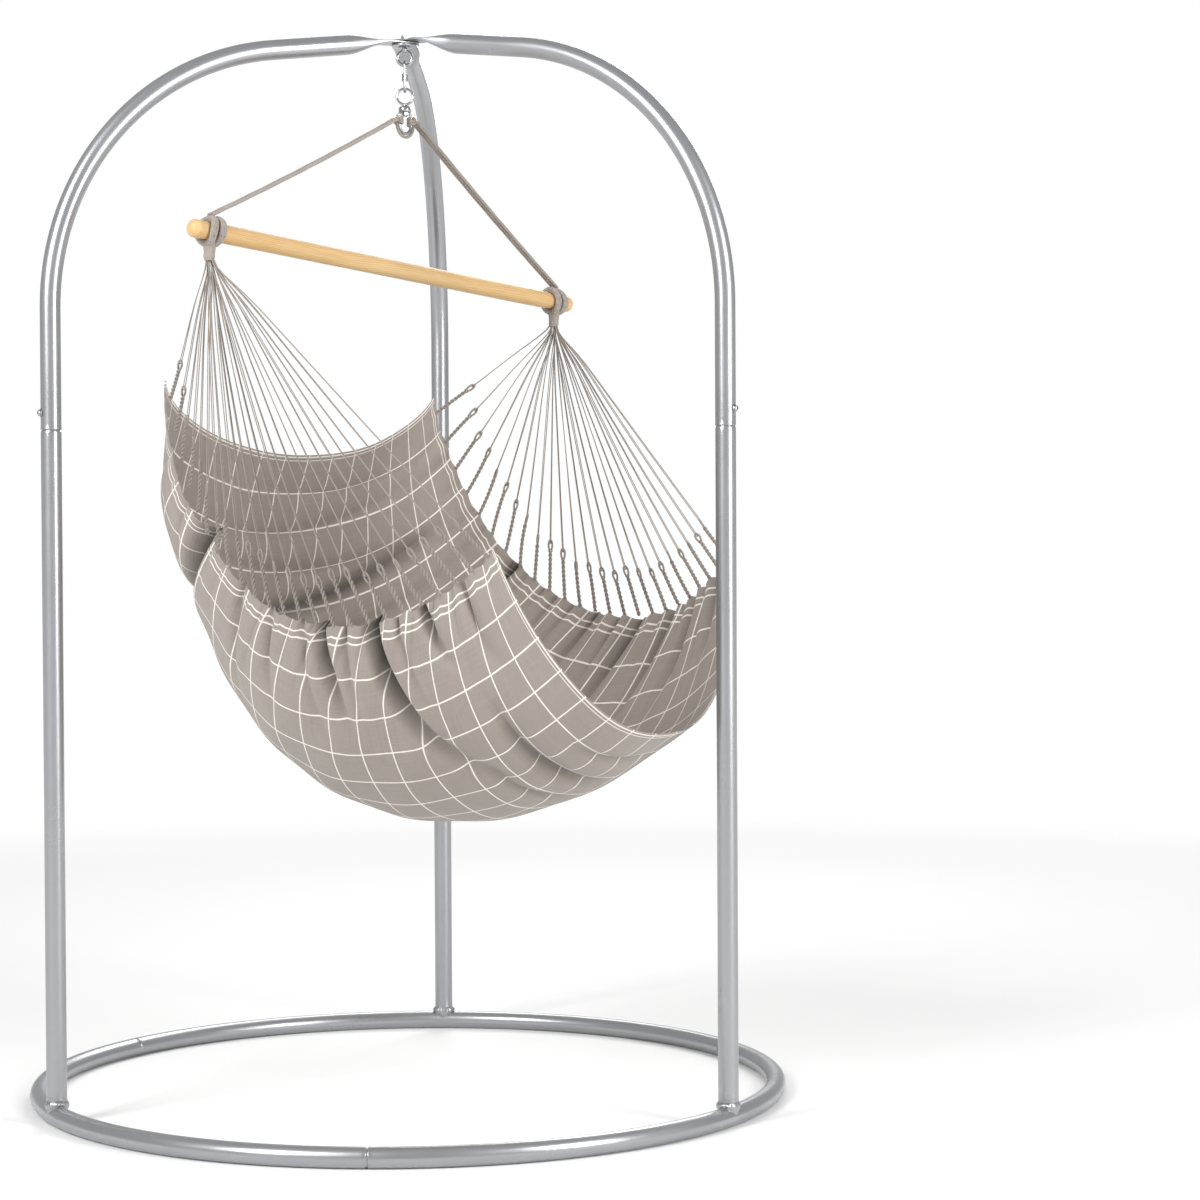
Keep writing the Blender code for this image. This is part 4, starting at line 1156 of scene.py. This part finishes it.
def lashing(side, sign):
    """Two knitted bands round the bar, parted at the sides and gathered above and below.

    Each band's middle goes once round: it stands off further at the top, where the cords pull,
    and at the bottom, where the neck leaves, and it leans towards the pull of the cords.
    """
    sizes = chair_sizes()
    turn = full_turn(322)
    top, low = np.cos(turn / 2) ** 6, np.sin(turn / 2) ** 6
    parted = np.abs(np.sin(turn))
    grids = []
    for band in (-1, 1):
        rib = 0.0006 * np.cos(46 * turn)
        wide = 0.0094 - 0.0026 * top - 0.0030 * low + rib
        high = 0.0034 + 0.0030 * top + 0.0028 * low + rib
        stand_off = sizes.bar / 2 * 0.93 + high
        along = sign * lashing_along() + band * (0.0062 + 0.0050 * parted) - sign * 0.0085 * top
        path = bar_point(along, stand_off * np.cos(turn), stand_off * np.sin(turn))
        tangent = unit(np.roll(path, -1, 0) - np.roll(path, 1, 0))
        axis = bar_point(1.0) - bar_point(0.0)
        across = unit(axis - (tangent @ axis)[:, None] * tangent)
        lift = np.cross(tangent, across)
        grids.append(grid(sweep(path, across, lift, wide, high, 28, 2.5), wrap_rows=True))
    share = np.linspace(0, 1, 40)
    drop = -lashing_radius() + 0.006 - share * (sizes.neck + 0.006)
    path = bar_point(np.full(40, sign * lashing_along()), drop)
    angle = full_turn(60)
    girth = 0.0125 - 0.0040 * share[:, None] ** 0.7
    strands = 1 + 0.085 * np.abs(np.cos(5.5 * angle + 2.0 * share[:, None]))
    bound = np.clip(1 - np.abs(share[:, None] - 0.80) / 0.12, 0, 1) ** 0.3
    turns = 0.0009 + 0.0005 * np.abs(np.sin(share[:, None] * 60))
    radius = girth * strands * (1 - bound) + (girth * 1.03 + turns) * bound
    grids.append(grid(cord_rings(path, radius, 60, X_AXIS)))
    grids = [(to_row(part[0]), *part[1:]) for part in grids]
    piece("bar_lashing_" + side, grids, knitted_band(), "chair", ["lashing_" + side])


def braid_radius(path, thick):
    """Radius along and round a braided cord: two sets of slanting strands, three lobes."""
    along = np.concatenate(([0.0], np.linalg.norm(np.diff(path, axis=0), axis=1).cumsum()))[:, None]
    angle = full_turn(18)
    lobes = np.abs(np.cos(1.5 * (angle + along * 26)))
    braid = np.maximum(np.abs(np.cos(3 * angle + along * 420)),
                       np.abs(np.cos(3 * angle - along * 420)))
    return thick / 2 * (0.80 + 0.15 * lobes + 0.09 * braid)


def suspension(side, sign):
    """Three braided cords side by side, from their knot on the bow to the lashing."""
    sizes, metal, level = chair_sizes(), hardware_sizes(), heights()
    strands = {"front": 1.0, "middle": 0.0, "back": -1.0}
    for strand, shift in strands.items():
        offset = np.array((shift * (sizes.cord + FIT), 0.0, 0.0))
        start = np.array((0.0, sign * (metal.bow_half + KNOT_REACH + sizes.cord / 2 + FIT),
                          level["knot"]))
        end = bar_point(sign * lashing_along(), lashing_radius() + sizes.cord)
        share = np.linspace(0, 1, 360)[:, None]
        sag = -4 * sizes.sag * share * (1 - share) * UP
        route = start + (end - start) * share + offset + sag
        path = to_row(route)
        points = cord_rings(path, braid_radius(path, sizes.cord), 18,
                            to_row(X_AXIS))
        name = f"suspension_cord_{side}_{strand}"
        made = piece("braided_" + name, [grid(points)], braided_cord(), "chair",
                     [name])


def bow_knot(side, sign):
    """Lark's head: two turns round the bow's arm and the bight that crosses over them."""
    metal, level, sizes = hardware_sizes(), heights(), chair_sizes()
    around = metal.bow_wire / 2 + sizes.cord / 2 - 0.0002
    turn = np.linspace(-0.3, 2.1, 120) * 2 * np.pi
    rise = (turn / (2 * np.pi) - 0.9) * sizes.cord * 0.92
    out = np.array((0.0, sign, 0.0))
    centre = np.array((0.0, sign * metal.bow_half, level["knot"]))
    coil = centre + np.stack((around * np.sin(turn), -sign * around * np.cos(turn), rise), -1)
    grids = [grid(to_row(cord_rings(coil, 0.0030, 14, UP)))]
    span = np.linspace(-1, 1, 60)
    bight = centre + out * (around + sizes.cord * 0.62 - 0.004 * span[:, None] ** 2)
    bight = bight + UP * (0.0088 * span[:, None]) + X_AXIS * (
        0.0035 * np.sin(np.pi * span[:, None]))
    grids.append(grid(to_row(cord_rings(bight, 0.0030, 14, X_AXIS))))
    share = np.linspace(0, 1, 40)[:, None]
    start = np.array((0.0, sign * (metal.bow_half + around), level["knot"]))
    goal = np.array((0.0, sign * (metal.bow_half + KNOT_REACH + sizes.cord / 2 + 0.004),
                     level["knot"]))
    for shift in (-1.0, 0.0, 1.0):
        spread = np.array((shift * (sizes.cord + FIT), 0.0, 0.0))
        lead = start + (goal - start) * share + spread * share ** 0.6
        grids.append(grid(to_row(cord_rings(lead, 0.0029, 12, UP))))
    piece("larks_head_" + side, grids, braided_cord(), "chair", ["bow_knot_" + side])


def bridge_cord():
    """Cord that runs from knot to knot under the bow, in a flattened half round."""
    sizes, metal, level = chair_sizes(), hardware_sizes(), heights()
    low = (level["bow_arc"] - metal.bow_straight - metal.bow_half - metal.bow_wire / 2
           - sizes.cord / 2 - 0.001)
    high = level["knot"] - 0.0065
    reach = metal.bow_half + metal.bow_wire / 2 + sizes.cord / 2 + 0.001
    angle = np.pi * np.linspace(1, 2, 90)
    path = np.stack((0 * angle, reach * np.cos(angle), high + (high - low) * np.sin(angle)), -1)
    radius = braid_radius(path, sizes.cord * 1.02)
    points = cord_rings(path, radius, 18, X_AXIS)
    piece("under_bow_cord", [grid(to_row(points))], braided_cord(), "chair",
          ["bridge_cord"])


def string_pairs(side, sign):
    """Each pair is one thin cord: down from the neck, through an eyelet and back up."""
    sizes = chair_sizes()
    foot, pull, along = loop_ways(sign)
    count = sizes.strings
    hole = foot + pull * (loop_lengths(sign) - 0.004)
    normal = np.cross(pull, along)
    order = np.linspace(-1, 1, count)[:, None]
    centre = apex(sign)
    rng = np.random.default_rng(11)
    spread = X_AXIS * 0.0062 * order
    spread = spread + Y_AXIS * rng.uniform(-0.0045, 0.0045, (count, 1))
    start = centre + spread + UP * 0.010
    gap = 0.0019
    axis = unit(hole.mean(0) - centre)
    down = np.linspace(0, 1, 26)[None, :, None] ** 1.25
    dip = 4 * down * (1 - down) * rng.uniform(0.001, 0.007, (count, 1))[:, None]
    bundle = np.clip(down / 0.16, 0, 1) ** 0.8
    legs = []
    for way in (-1, 1):
        swirl = rng.uniform(-0.0018, 0.0018, (count, 1, 3))
        reach = hole - start
        straight = (reach @ axis)[:, None, None] * down * axis
        spreading = 1 - np.exp(-(np.linalg.norm(reach, axis=1)[:, None, None] * down / 0.05) ** 1.5)
        aside = (reach - (reach @ axis)[:, None] * axis)[:, None] * down
        middle = start[:, None] + straight + aside * spreading - UP * dip
        offset = normal[:, None] * (way * gap * (0.35 + 0.65 * down))
        legs.append(middle + offset * bundle + swirl * bundle * (1 - down))
    angle = np.linspace(0, np.pi, 9)[None, 1:-1, None]
    bend = (hole[:, None] - normal[:, None] * gap * np.cos(angle)
            - pull[:, None] * gap * 1.2 * np.sin(angle))
    paths = np.concatenate((legs[0], bend, legs[1][:, ::-1]), 1)
    points = cord_rings(to_row(paths), sizes.string / 2, 8, to_row(along)[:, None])
    piece("string_pairs_" + side, [grid(points)], thin_string(), "chair",
          ["string_fan_" + side])


def edge_loops(side, sign):
    """Twisted rope loops: a cord goes up as one ply, round its eyelet and down as the other.

    The plies wind round the loop's line; near the end they part into the eyelet's ellipse.
    """
    sizes = chair_sizes()
    foot, pull, along = loop_ways(sign)
    count = sizes.strings
    rng = np.random.default_rng(5)
    ply = sizes.loop_ply / 2
    eye_half, eye_wide = 0.0105, 0.0042
    twisted = loop_lengths(sign) - 0.020
    rise = -0.004 + (twisted + 0.004) * np.linspace(0, 1, 62)
    spin = 2 * np.pi * (rise - twisted) / 0.019
    close = ply * 0.92 + (eye_wide * 0.35 - ply * 0.2) * np.clip(1 - (twisted - rise) / 0.006, 0, 1)
    tilt = rng.uniform(-0.9, 0.9, (count, 1))
    first = along * np.cos(tilt) + np.cross(pull, along) * np.sin(tilt)
    second = np.cross(pull, first)
    bend = np.linspace(-np.pi * 0.42, np.pi * 1.42, 27)
    eye_rise = twisted + eye_half + eye_half * np.sin(bend)
    eye_out = eye_wide * np.cos(bend)

    def ride(height, out, side_out):
        return (foot[:, None] + pull[:, None] * height[..., None]
                + first[:, None] * out[..., None] + second[:, None] * side_out[..., None])

    up = ride(rise, close * np.cos(spin), close * np.sin(spin))
    down = ride(rise, -close * np.cos(spin), -close * np.sin(spin))
    eye = ride(eye_rise, np.broadcast_to(eye_out, eye_rise.shape), np.zeros(eye_rise.shape))
    paths = np.concatenate((up, eye[:, 1:-1], down[:, ::-1]), 1)
    sag = rng.uniform(-0.003, 0.003, (count, 1, 1))
    reach = np.concatenate((rise, eye_rise[:, 1:-1], rise[:, ::-1]), 1)[..., None] / 0.1
    paths = paths + second[:, None] * sag * 4 * reach * (1 - reach)
    rows = paths.shape[1]
    turn = full_turn(10)
    length = np.arange(rows)[:, None] * 0.0014
    strands = 0.88 + 0.17 * np.abs(np.cos(turn + length * 2 * np.pi / 0.0085))
    points = cord_rings(to_row(paths), ply * strands, 10, to_row(second)[:, None])
    piece("rope_loops_" + side, [grid(points)], laid_rope(), "chair",
          ["edge_loops_" + side])


def fold(share, place_share, width):
    """Bell of 1 in the middle of a fold, with its place in half widths."""
    offset = (share - place_share) / width
    return np.exp(-offset ** 2), offset


DRAW = 0.54  # how far a fold draws the cloth in; at 0.64 the cloth's middle crosses itself
SPREAD = 0.45  # how much wider a fold gets on its way down from the edge
FULL_SHADE_DEPTH = 0.05  # a fold this deep gets the full crease shade
PLEAT_DEPTH = {"right": 0.42, "left": 0.6}  # share of a pleat's drawn depth that is kept
INWARDS = {"right": -1.0, "left": 1.0}  # sign of the push that goes into each side
BULGE, BULGE_PLACE, BULGE_REACH = 0.040, (0.11, -0.72), (0.11, 0.30)
NORMAL_STEP = 0.003

# (place on the edge, drift towards the knees, depth, half width, run down from the edge)
DEEP_FOLDS = {
    "right": ((0.222, -0.03, 0.050, 0.014, 0.95), (0.562, 0.31, 0.044, 0.012, 0.40),
              (0.688, 0.26, 0.052, 0.013, 0.80), (0.807, 0.28, 0.032, 0.010, 0.26),
              (0.44, 0.16, 0.012, 0.011, 0.45), (0.905, 0.10, 0.012, 0.010, 0.40),
              (0.625, 0.20, 0.011, 0.010, 0.45), (0.35, 0.10, 0.014, 0.012, 0.55),
              (0.52, 0.26, 0.010, 0.010, 0.50), (0.75, 0.20, 0.010, 0.010, 0.50)),
    "left": ((0.52, 0.01, 0.020, 0.012, 0.38), (0.64, -0.02, 0.026, 0.014, 0.60),
             (0.745, -0.03, 0.024, 0.014, 0.56), (0.83, -0.03, 0.020, 0.013, 0.56),
             (0.915, -0.02, 0.020, 0.012, 0.40), (0.30, 0.02, 0.030, 0.013, 0.44)),
}


# (place, lean, middle across, half length across, depth outwards, half width)
CROSS_FOLDS = ((0.182, -0.035, 0.22, 0.64, 0.036, 0.013), (0.13, 0.02, 0.15, 0.60, 0.012, 0.013),
               (0.085, -0.02, 0.10, 0.65, 0.009, 0.011), (0.04, 0.01, 0.25, 0.50, 0.006, 0.009),
               (0.905, 0.004, -0.30, 0.36, -0.024, 0.012),
               (0.955, 0.02, -0.12, 0.26, -0.010, 0.009),
               (0.235, -0.02, 0.35, 0.44, 0.011, 0.012), (0.86, 0.02, -0.20, 0.24, -0.012, 0.010))


def folded_cloth(share, across):
    """Hung cloth with its folds, and how deep each point lies in one, as painted shade for its
    hollow: 1 inside it, -1 outside.

    Side pleats start between the loops and die out down the cloth. A fold pushes the cloth
    along its normal and draws the cloth beside it together. Where folds crowd, they share
    that draw, which keeps the cloth's middle from crossing itself. The edge dips between the
    loops, and a crease lies where the back meets the seat.
    """
    sizes = chair_sizes()
    push = np.zeros_like(share)
    draw = np.zeros_like(share)
    crease = np.zeros_like(share)
    crowd = np.zeros_like(share)
    rng = np.random.default_rng(7)
    count = sizes.strings
    for side, sign in SIDES.items():
        away = 1 - sign * across
        pleats = [((index + 1) / count + rng.uniform(-0.006, 0.006), rng.uniform(-0.03, 0.05),
                   rng.uniform(0.007, 0.017) * PLEAT_DEPTH[side], rng.uniform(0.006, 0.009),
                   rng.uniform(0.14, 0.46)) for index in range(count - 1)]
        for spot, drift, depth, width, run in (*pleats, *DEEP_FOLDS[side]):
            fade = np.clip(1 - away / run, 0, 1)
            fade = fade * fade * (3 - 2 * fade)
            spread_width = width * (1 + SPREAD * away)
            bell, offset = fold(share, spot + drift * away, spread_width)
            push += INWARDS[side] * depth * bell * fade
            # painted shade for the fold's hollow, fuller for deeper folds
            crease += INWARDS[side] * min(depth / FULL_SHADE_DEPTH, 1.0) * bell ** 0.8 * fade
            draw -= DRAW * spread_width * offset * bell * fade
            crowd += bell * fade
    for spot, lean, middle_place, half, depth, width in CROSS_FOLDS:
        bell, offset = fold(share, spot + lean * across, width)
        reach = np.clip(1 - ((across - middle_place) / half) ** 2, 0, 1)
        push += depth * bell * reach
        # painted shade for the cross fold's hollow
        crease += max(min(depth / FULL_SHADE_DEPTH, 1.0), -1.0) * bell ** 0.8 * reach
        draw -= DRAW * width * offset * bell * reach
        crowd += bell * reach
    push += BULGE * np.exp(-((share - BULGE_PLACE[0]) / BULGE_REACH[0]) ** 2
                           - ((across - BULGE_PLACE[1]) / BULGE_REACH[1]) ** 2)
    push += 0.0035 * np.sin(share * 31 + 3 * across) * np.cos(across * 9 + share * 12)
    moved = np.clip(share + draw / np.maximum(crowd, 1.0), 0.0, 1.0)
    middle = hung_point(moved, across)
    ahead = (hung_point(np.clip(moved + NORMAL_STEP, 0, 1), across)
             - hung_point(np.clip(moved - NORMAL_STEP, 0, 1), across))
    over = (hung_point(moved, np.clip(across + NORMAL_STEP, -1, 1))
            - hung_point(moved, np.clip(across - NORMAL_STEP, -1, 1)))
    normal = unit(np.cross(ahead, over))
    points = middle - normal * push[..., None]
    near = (share * count) % 1
    sagged = 1 - (1 - np.abs(near - 0.5) * 2) ** 2
    for sign in SIDES.values():
        away = (1 - sign * across) * sizes.cloth_width / 2
        pull = unit(apex(sign) - hung_point(share, np.full_like(share, sign)))
        ends = np.clip(np.minimum(share, 1 - share) * count * 2, 0, 1)
        dip = 0.0075 * sagged * ends * np.exp(-(away / 0.055) ** 1.3)
        points = points - pull * dip[..., None]
    return points, crease


CLOTH_THICK, HEM_EXTRA, ROLL_EXTRA = 0.0010, 0.0012, 0.0010
END_HEM = 0.011  # folded hem at the head and the knees


def seat_cloth():
    """Cloth as an outer and an inner face, thicker where it is folded over as a hem."""
    sizes = chair_sizes()
    rows, half_columns = 361, 64
    share = np.linspace(0, 1, rows)
    inset = np.linspace(0, 1, half_columns + 1) ** 1.35
    across = np.concatenate((-(1 - inset), (1 - inset[:-1])[::-1]))
    share_grid, across_grid = np.meshgrid(share, across, indexing="ij")
    points, crease = folded_cloth(share_grid, across_grid)
    down = np.gradient(points, axis=0)
    over = np.gradient(points, axis=1)
    normal = unit(np.cross(down, over))
    middle = bezier(MIDDLE_LINE, share)
    gone = np.concatenate(([0.0], np.linalg.norm(np.diff(middle, axis=0), axis=1).cumsum()))
    along = gone / gone[-1] * sizes.cloth_length
    width = (across + 1) / 2 * sizes.cloth_width
    from_side = np.minimum(width, sizes.cloth_width - width)
    from_end = np.minimum(along, sizes.cloth_length - along)
    hem = np.clip((sizes.hem - from_side) / 0.002, 0, 1)[None, :]
    hem = np.maximum(hem, np.clip((END_HEM - from_end) / 0.002, 0, 1)[:, None])
    rim_roll = np.exp(-((from_side - 0.0025) / 0.0022) ** 2)[None, :]
    edge = np.clip(np.minimum(from_side[None, :] / 0.0015, 1), 0.25, 1)
    thick = (CLOTH_THICK + HEM_EXTRA * hem + ROLL_EXTRA * rim_roll) * edge
    stitch = np.exp(-((from_side - sizes.hem + 0.0012) / 0.0012) ** 2)[None, :]
    thick = thick * (1 - 0.45 * stitch)
    outer = points + normal * thick[..., None] / 2
    inner = points - normal * thick[..., None] / 2
    uv = np.stack(np.broadcast_arrays(along[:, None], width[None, :]), -1)
    shell = np.concatenate((outer, inner[:, ::-1]), 1)
    shell_uv = np.concatenate((uv, uv[:, ::-1]), 1)
    faces = list(grid(shell, capped=False, uv=shell_uv))
    columns = len(across)
    line = np.arange(columns - 1)
    ends = []
    for row in (0, rows - 1):
        base = row * 2 * columns
        mirror = base + 2 * columns - 1
        strip = np.stack((base + line, base + line + 1, mirror - line - 1, mirror - line), -1)
        ends.append(strip if row else strip[:, ::-1])
    ends = np.concatenate(ends)
    first = faces[1][0]
    if first[1] - first[0] < 0 or first[1] > first[0] + 1:
        ends = ends[:, ::-1]
    faces[1] = np.concatenate((faces[1], ends))
    faces[2] = np.concatenate((faces[2], shell_uv.reshape(-1, 2)[ends.ravel()]))
    faces[0] = to_row(faces[0])
    made = piece("hung_seat_cloth", [tuple(faces)], woven_check(), "chair",
                 ["seat_cloth"], 60)
    # painted shade in the folds' hollows, stored as the crease attribute on the face that each
    # hollow opens to
    depths = np.concatenate((crease, -crease[:, ::-1]), 1).clip(0, 1)
    wear_and_crease_shade = made.data.attributes.new("crease", "FLOAT", "POINT")
    wear_and_crease_shade.data.foreach_set("value", depths.astype(np.float32).ravel())


# ---- Studio ----


def area_light(name, spot, aim, power, width, height):
    light = bpy.data.lights.new(name, "AREA")
    light.shape = "RECTANGLE"
    light.size, light.size_y = width, height
    light.energy = power
    made = bpy.data.objects.new(name, light)
    way = np.array(aim, float) - np.array(spot, float)
    flat = math.hypot(way[0], way[1])
    made.location = spot
    made.rotation_euler = (math.atan2(flat, -way[2]), 0.0, math.atan2(way[1], way[0]) - math.pi / 2)
    bpy.context.scene.collection.objects.link(made)


FAR_FLOOR = (1.5, 6.0)  # where the floor starts and ends its change to the backdrop
AMBIENT = 0.50  # strength of the sky for everything but the camera's own rays
CAMERA_SPOT = (0.5753, -5.5766, 1.066)
LENS_MM, SENSOR_MM = 85.11, 36.0


def studio():
    """Pale floor that turns into the bright backdrop far off, three lights and the sky."""
    look = bpy.context.scene.hanging_chair_studio
    reach = 40.0
    mesh = bpy.data.meshes.new("studio_floor")
    mesh.from_pydata([(-reach, -reach, 0), (reach, -reach, 0), (reach, reach, 0),
                      (-reach, reach, 0)], [], [(0, 1, 2, 3)])
    floor_material, tree, shader, spot, _ = new_material("studio_floor", roughness=0.85)
    marks = use_group(tree, "handling", {"Vector": spot, "Patch": 1.5, "Speck": 60.0})
    near = blend_colours(tree, maths(tree, "MULTIPLY", marks["Mask"], 0.15), (*look.floor, 1),
                         (*[channel * 0.97 for channel in look.floor], 1))
    reach_out = node(tree, "ShaderNodeVectorMath", {0: spot}, operation="LENGTH").outputs["Value"]
    far = between(tree, reach_out, *FAR_FLOOR)
    tree.links.new(blend_colours(tree, far, near, (0.0, 0.0, 0.0, 1)), shader.inputs["Base Color"])
    shader.inputs["Emission Color"].default_value = (1.0, 1.0, 1.0, 1)
    tree.links.new(maths(tree, "MULTIPLY", far, look.backdrop), shader.inputs["Emission Strength"])
    mesh.materials.append(floor_material)
    floor = bpy.data.objects.new("studio_floor", mesh)
    bpy.context.scene.collection.objects.link(floor)
    area_light("key_light", (-2.6, -3.6, 3.4), (0, 0, 1.0), look.key, 1.6, 2.6)
    area_light("fill_light", (3.6, -2.6, 2.2), (0, 0, 1.0), look.fill, 1.2, 2.8)
    area_light("back_light", (0.6, 3.8, 3.2), (0, 0, 1.0), look.rim, 2.4, 1.6)
    world = bpy.data.worlds.new("studio_world")
    world.use_nodes = True
    tree = world.node_tree
    sky = tree.nodes["Background"]
    ray = node(tree, "ShaderNodeLightPath").outputs
    seen = maths(tree, "MULTIPLY_ADD", ray["Is Camera Ray"], look.backdrop - AMBIENT,
                 AMBIENT)
    tree.links.new(seen, sky.inputs["Strength"])
    sky.inputs["Color"].default_value = (1.0, 1.0, 1.0, 1)
    bpy.context.scene.world = world
    bpy.context.scene.view_settings.view_transform = "Standard"


def camera():
    """Camera a little above the middle of the stand, turned, tipped and rolled slightly."""
    lens = bpy.data.cameras.new("camera")
    lens.sensor_width = SENSOR_MM
    lens.lens = LENS_MM
    lens.clip_end = 200.0
    made = bpy.data.objects.new("camera", lens)
    yaw, pitch, roll = math.radians(2.02), math.radians(-1.03), math.radians(-0.29)
    made.matrix_world = (Matrix.Translation(CAMERA_SPOT)
                         @ Matrix.Rotation(yaw, 4, "Z")
                         @ Matrix.Rotation(math.pi / 2 + pitch, 4, "X")
                         @ Matrix.Rotation(roll, 4, "Z"))
    bpy.context.scene.collection.objects.link(made)
    bpy.context.scene.camera = made


# ---- Operators and panel ----


class HANGCHAIR_OT_stage(Operator):
    """Set up the floor, the lights and the camera"""

    bl_idname = "hangchair.stage"
    bl_label = "Studio"

    def execute(self, context):
        camera()
        studio()
        return {"FINISHED"}


class HANGCHAIR_OT_base_ring(Operator):
    """Build the three arcs of the base ring"""

    bl_idname = "hangchair.base_ring"
    bl_label = "Base ring"

    def execute(self, context):
        for place_name, angle in LEG_ANGLES.items():
            base_arc(place_name, angle)
        return {"FINISHED"}


class HANGCHAIR_OT_legs(Operator):
    """Build the legs with their welds and screws"""

    bl_idname = "hangchair.legs"
    bl_label = "Legs"

    def execute(self, context):
        for place_name, angle in LEG_ANGLES.items():
            weld(place_name, angle)
            lower_leg(place_name, angle)
            leg_screw(place_name, angle)
        return {"FINISHED"}


class HANGCHAIR_OT_arms(Operator):
    """Build the bent arms with their flattened ends"""

    bl_idname = "hangchair.arms"
    bl_label = "Arms"

    def execute(self, context):
        for place_name, angle in LEG_ANGLES.items():
            arm(place_name, angle)
        return {"FINISHED"}


class HANGCHAIR_OT_hub_bolt(Operator):
    """Build the eye bolt, its washers and its nut"""

    bl_idname = "hangchair.hub_bolt"
    bl_label = "Hub bolt"

    def execute(self, context):
        hub_bolt()
        return {"FINISHED"}


class HANGCHAIR_OT_quick_link(Operator):
    """Build the quick link and its sleeve"""

    bl_idname = "hangchair.quick_link"
    bl_label = "Quick link"

    def execute(self, context):
        quick_link()
        return {"FINISHED"}


class HANGCHAIR_OT_swivel(Operator):
    """Build the swivel"""

    bl_idname = "hangchair.swivel"
    bl_label = "Swivel"

    def execute(self, context):
        swivel()
        return {"FINISHED"}


class HANGCHAIR_OT_spreader_bar(Operator):
    """Build the turned pine bar"""

    bl_idname = "hangchair.spreader_bar"
    bl_label = "Spreader bar"

    def execute(self, context):
        spreader_bar()
        return {"FINISHED"}


class HANGCHAIR_OT_suspension(Operator):
    """Build the lashings, the knots on the bow and the cords between them"""

    bl_idname = "hangchair.suspension"
    bl_label = "Suspension"

    def execute(self, context):
        for side, sign in SIDES.items():
            lashing(side, sign)
            bow_knot(side, sign)
            suspension(side, sign)
        bridge_cord()
        return {"FINISHED"}


class HANGCHAIR_OT_strings(Operator):
    """Build the string pairs and the rope loops on the cloth's edges"""

    bl_idname = "hangchair.strings"
    bl_label = "Strings"

    def execute(self, context):
        for side, sign in SIDES.items():
            string_pairs(side, sign)
            edge_loops(side, sign)
        return {"FINISHED"}


class HANGCHAIR_OT_seat_cloth(Operator):
    """Build the checked cotton seat"""

    bl_idname = "hangchair.seat_cloth"
    bl_label = "Seat cloth"

    def execute(self, context):
        seat_cloth()
        return {"FINISHED"}


OPERATORS = (HANGCHAIR_OT_stage, HANGCHAIR_OT_base_ring, HANGCHAIR_OT_legs, HANGCHAIR_OT_arms,
             HANGCHAIR_OT_hub_bolt, HANGCHAIR_OT_quick_link, HANGCHAIR_OT_swivel,
             HANGCHAIR_OT_spreader_bar, HANGCHAIR_OT_suspension, HANGCHAIR_OT_strings,
             HANGCHAIR_OT_seat_cloth)
SETTINGS = {"hanging_chair_stand": StandSizes, "hanging_chair_hardware": HardwareSizes,
            "hanging_chair_seat": ChairSizes, "hanging_chair_studio": StudioLook}


class HANGCHAIR_PT_build(Panel):
    """Builds the chair and its stand piece by piece"""

    bl_idname = "HANGCHAIR_PT_build"
    bl_label = "Hanging chair"
    bl_space_type = "VIEW_3D"
    bl_region_type = "UI"
    bl_category = "Hanging chair"

    def draw(self, context):
        for operator in OPERATORS:
            self.layout.operator(operator.bl_idname)
        for name, kind in SETTINGS.items():
            column = self.layout.box().column()
            column.label(text=kind.__doc__)
            for key in kind.__annotations__:
                column.prop(getattr(context.scene, name), key)


def register():
    for kind in (*SETTINGS.values(), *OPERATORS, HANGCHAIR_PT_build):
        bpy.utils.register_class(kind)
    for name, kind in SETTINGS.items():
        setattr(bpy.types.Scene, name, PointerProperty(type=kind))


def unregister():
    for name in SETTINGS:
        delattr(bpy.types.Scene, name)
    for kind in (HANGCHAIR_PT_build, *OPERATORS[::-1], *SETTINGS.values()):
        bpy.utils.unregister_class(kind)


def main():
    register()
    for operator in OPERATORS:
        group_name, call = operator.bl_idname.split(".")
        getattr(getattr(bpy.ops, group_name), call)()


if __name__ == "__main__":
    main()
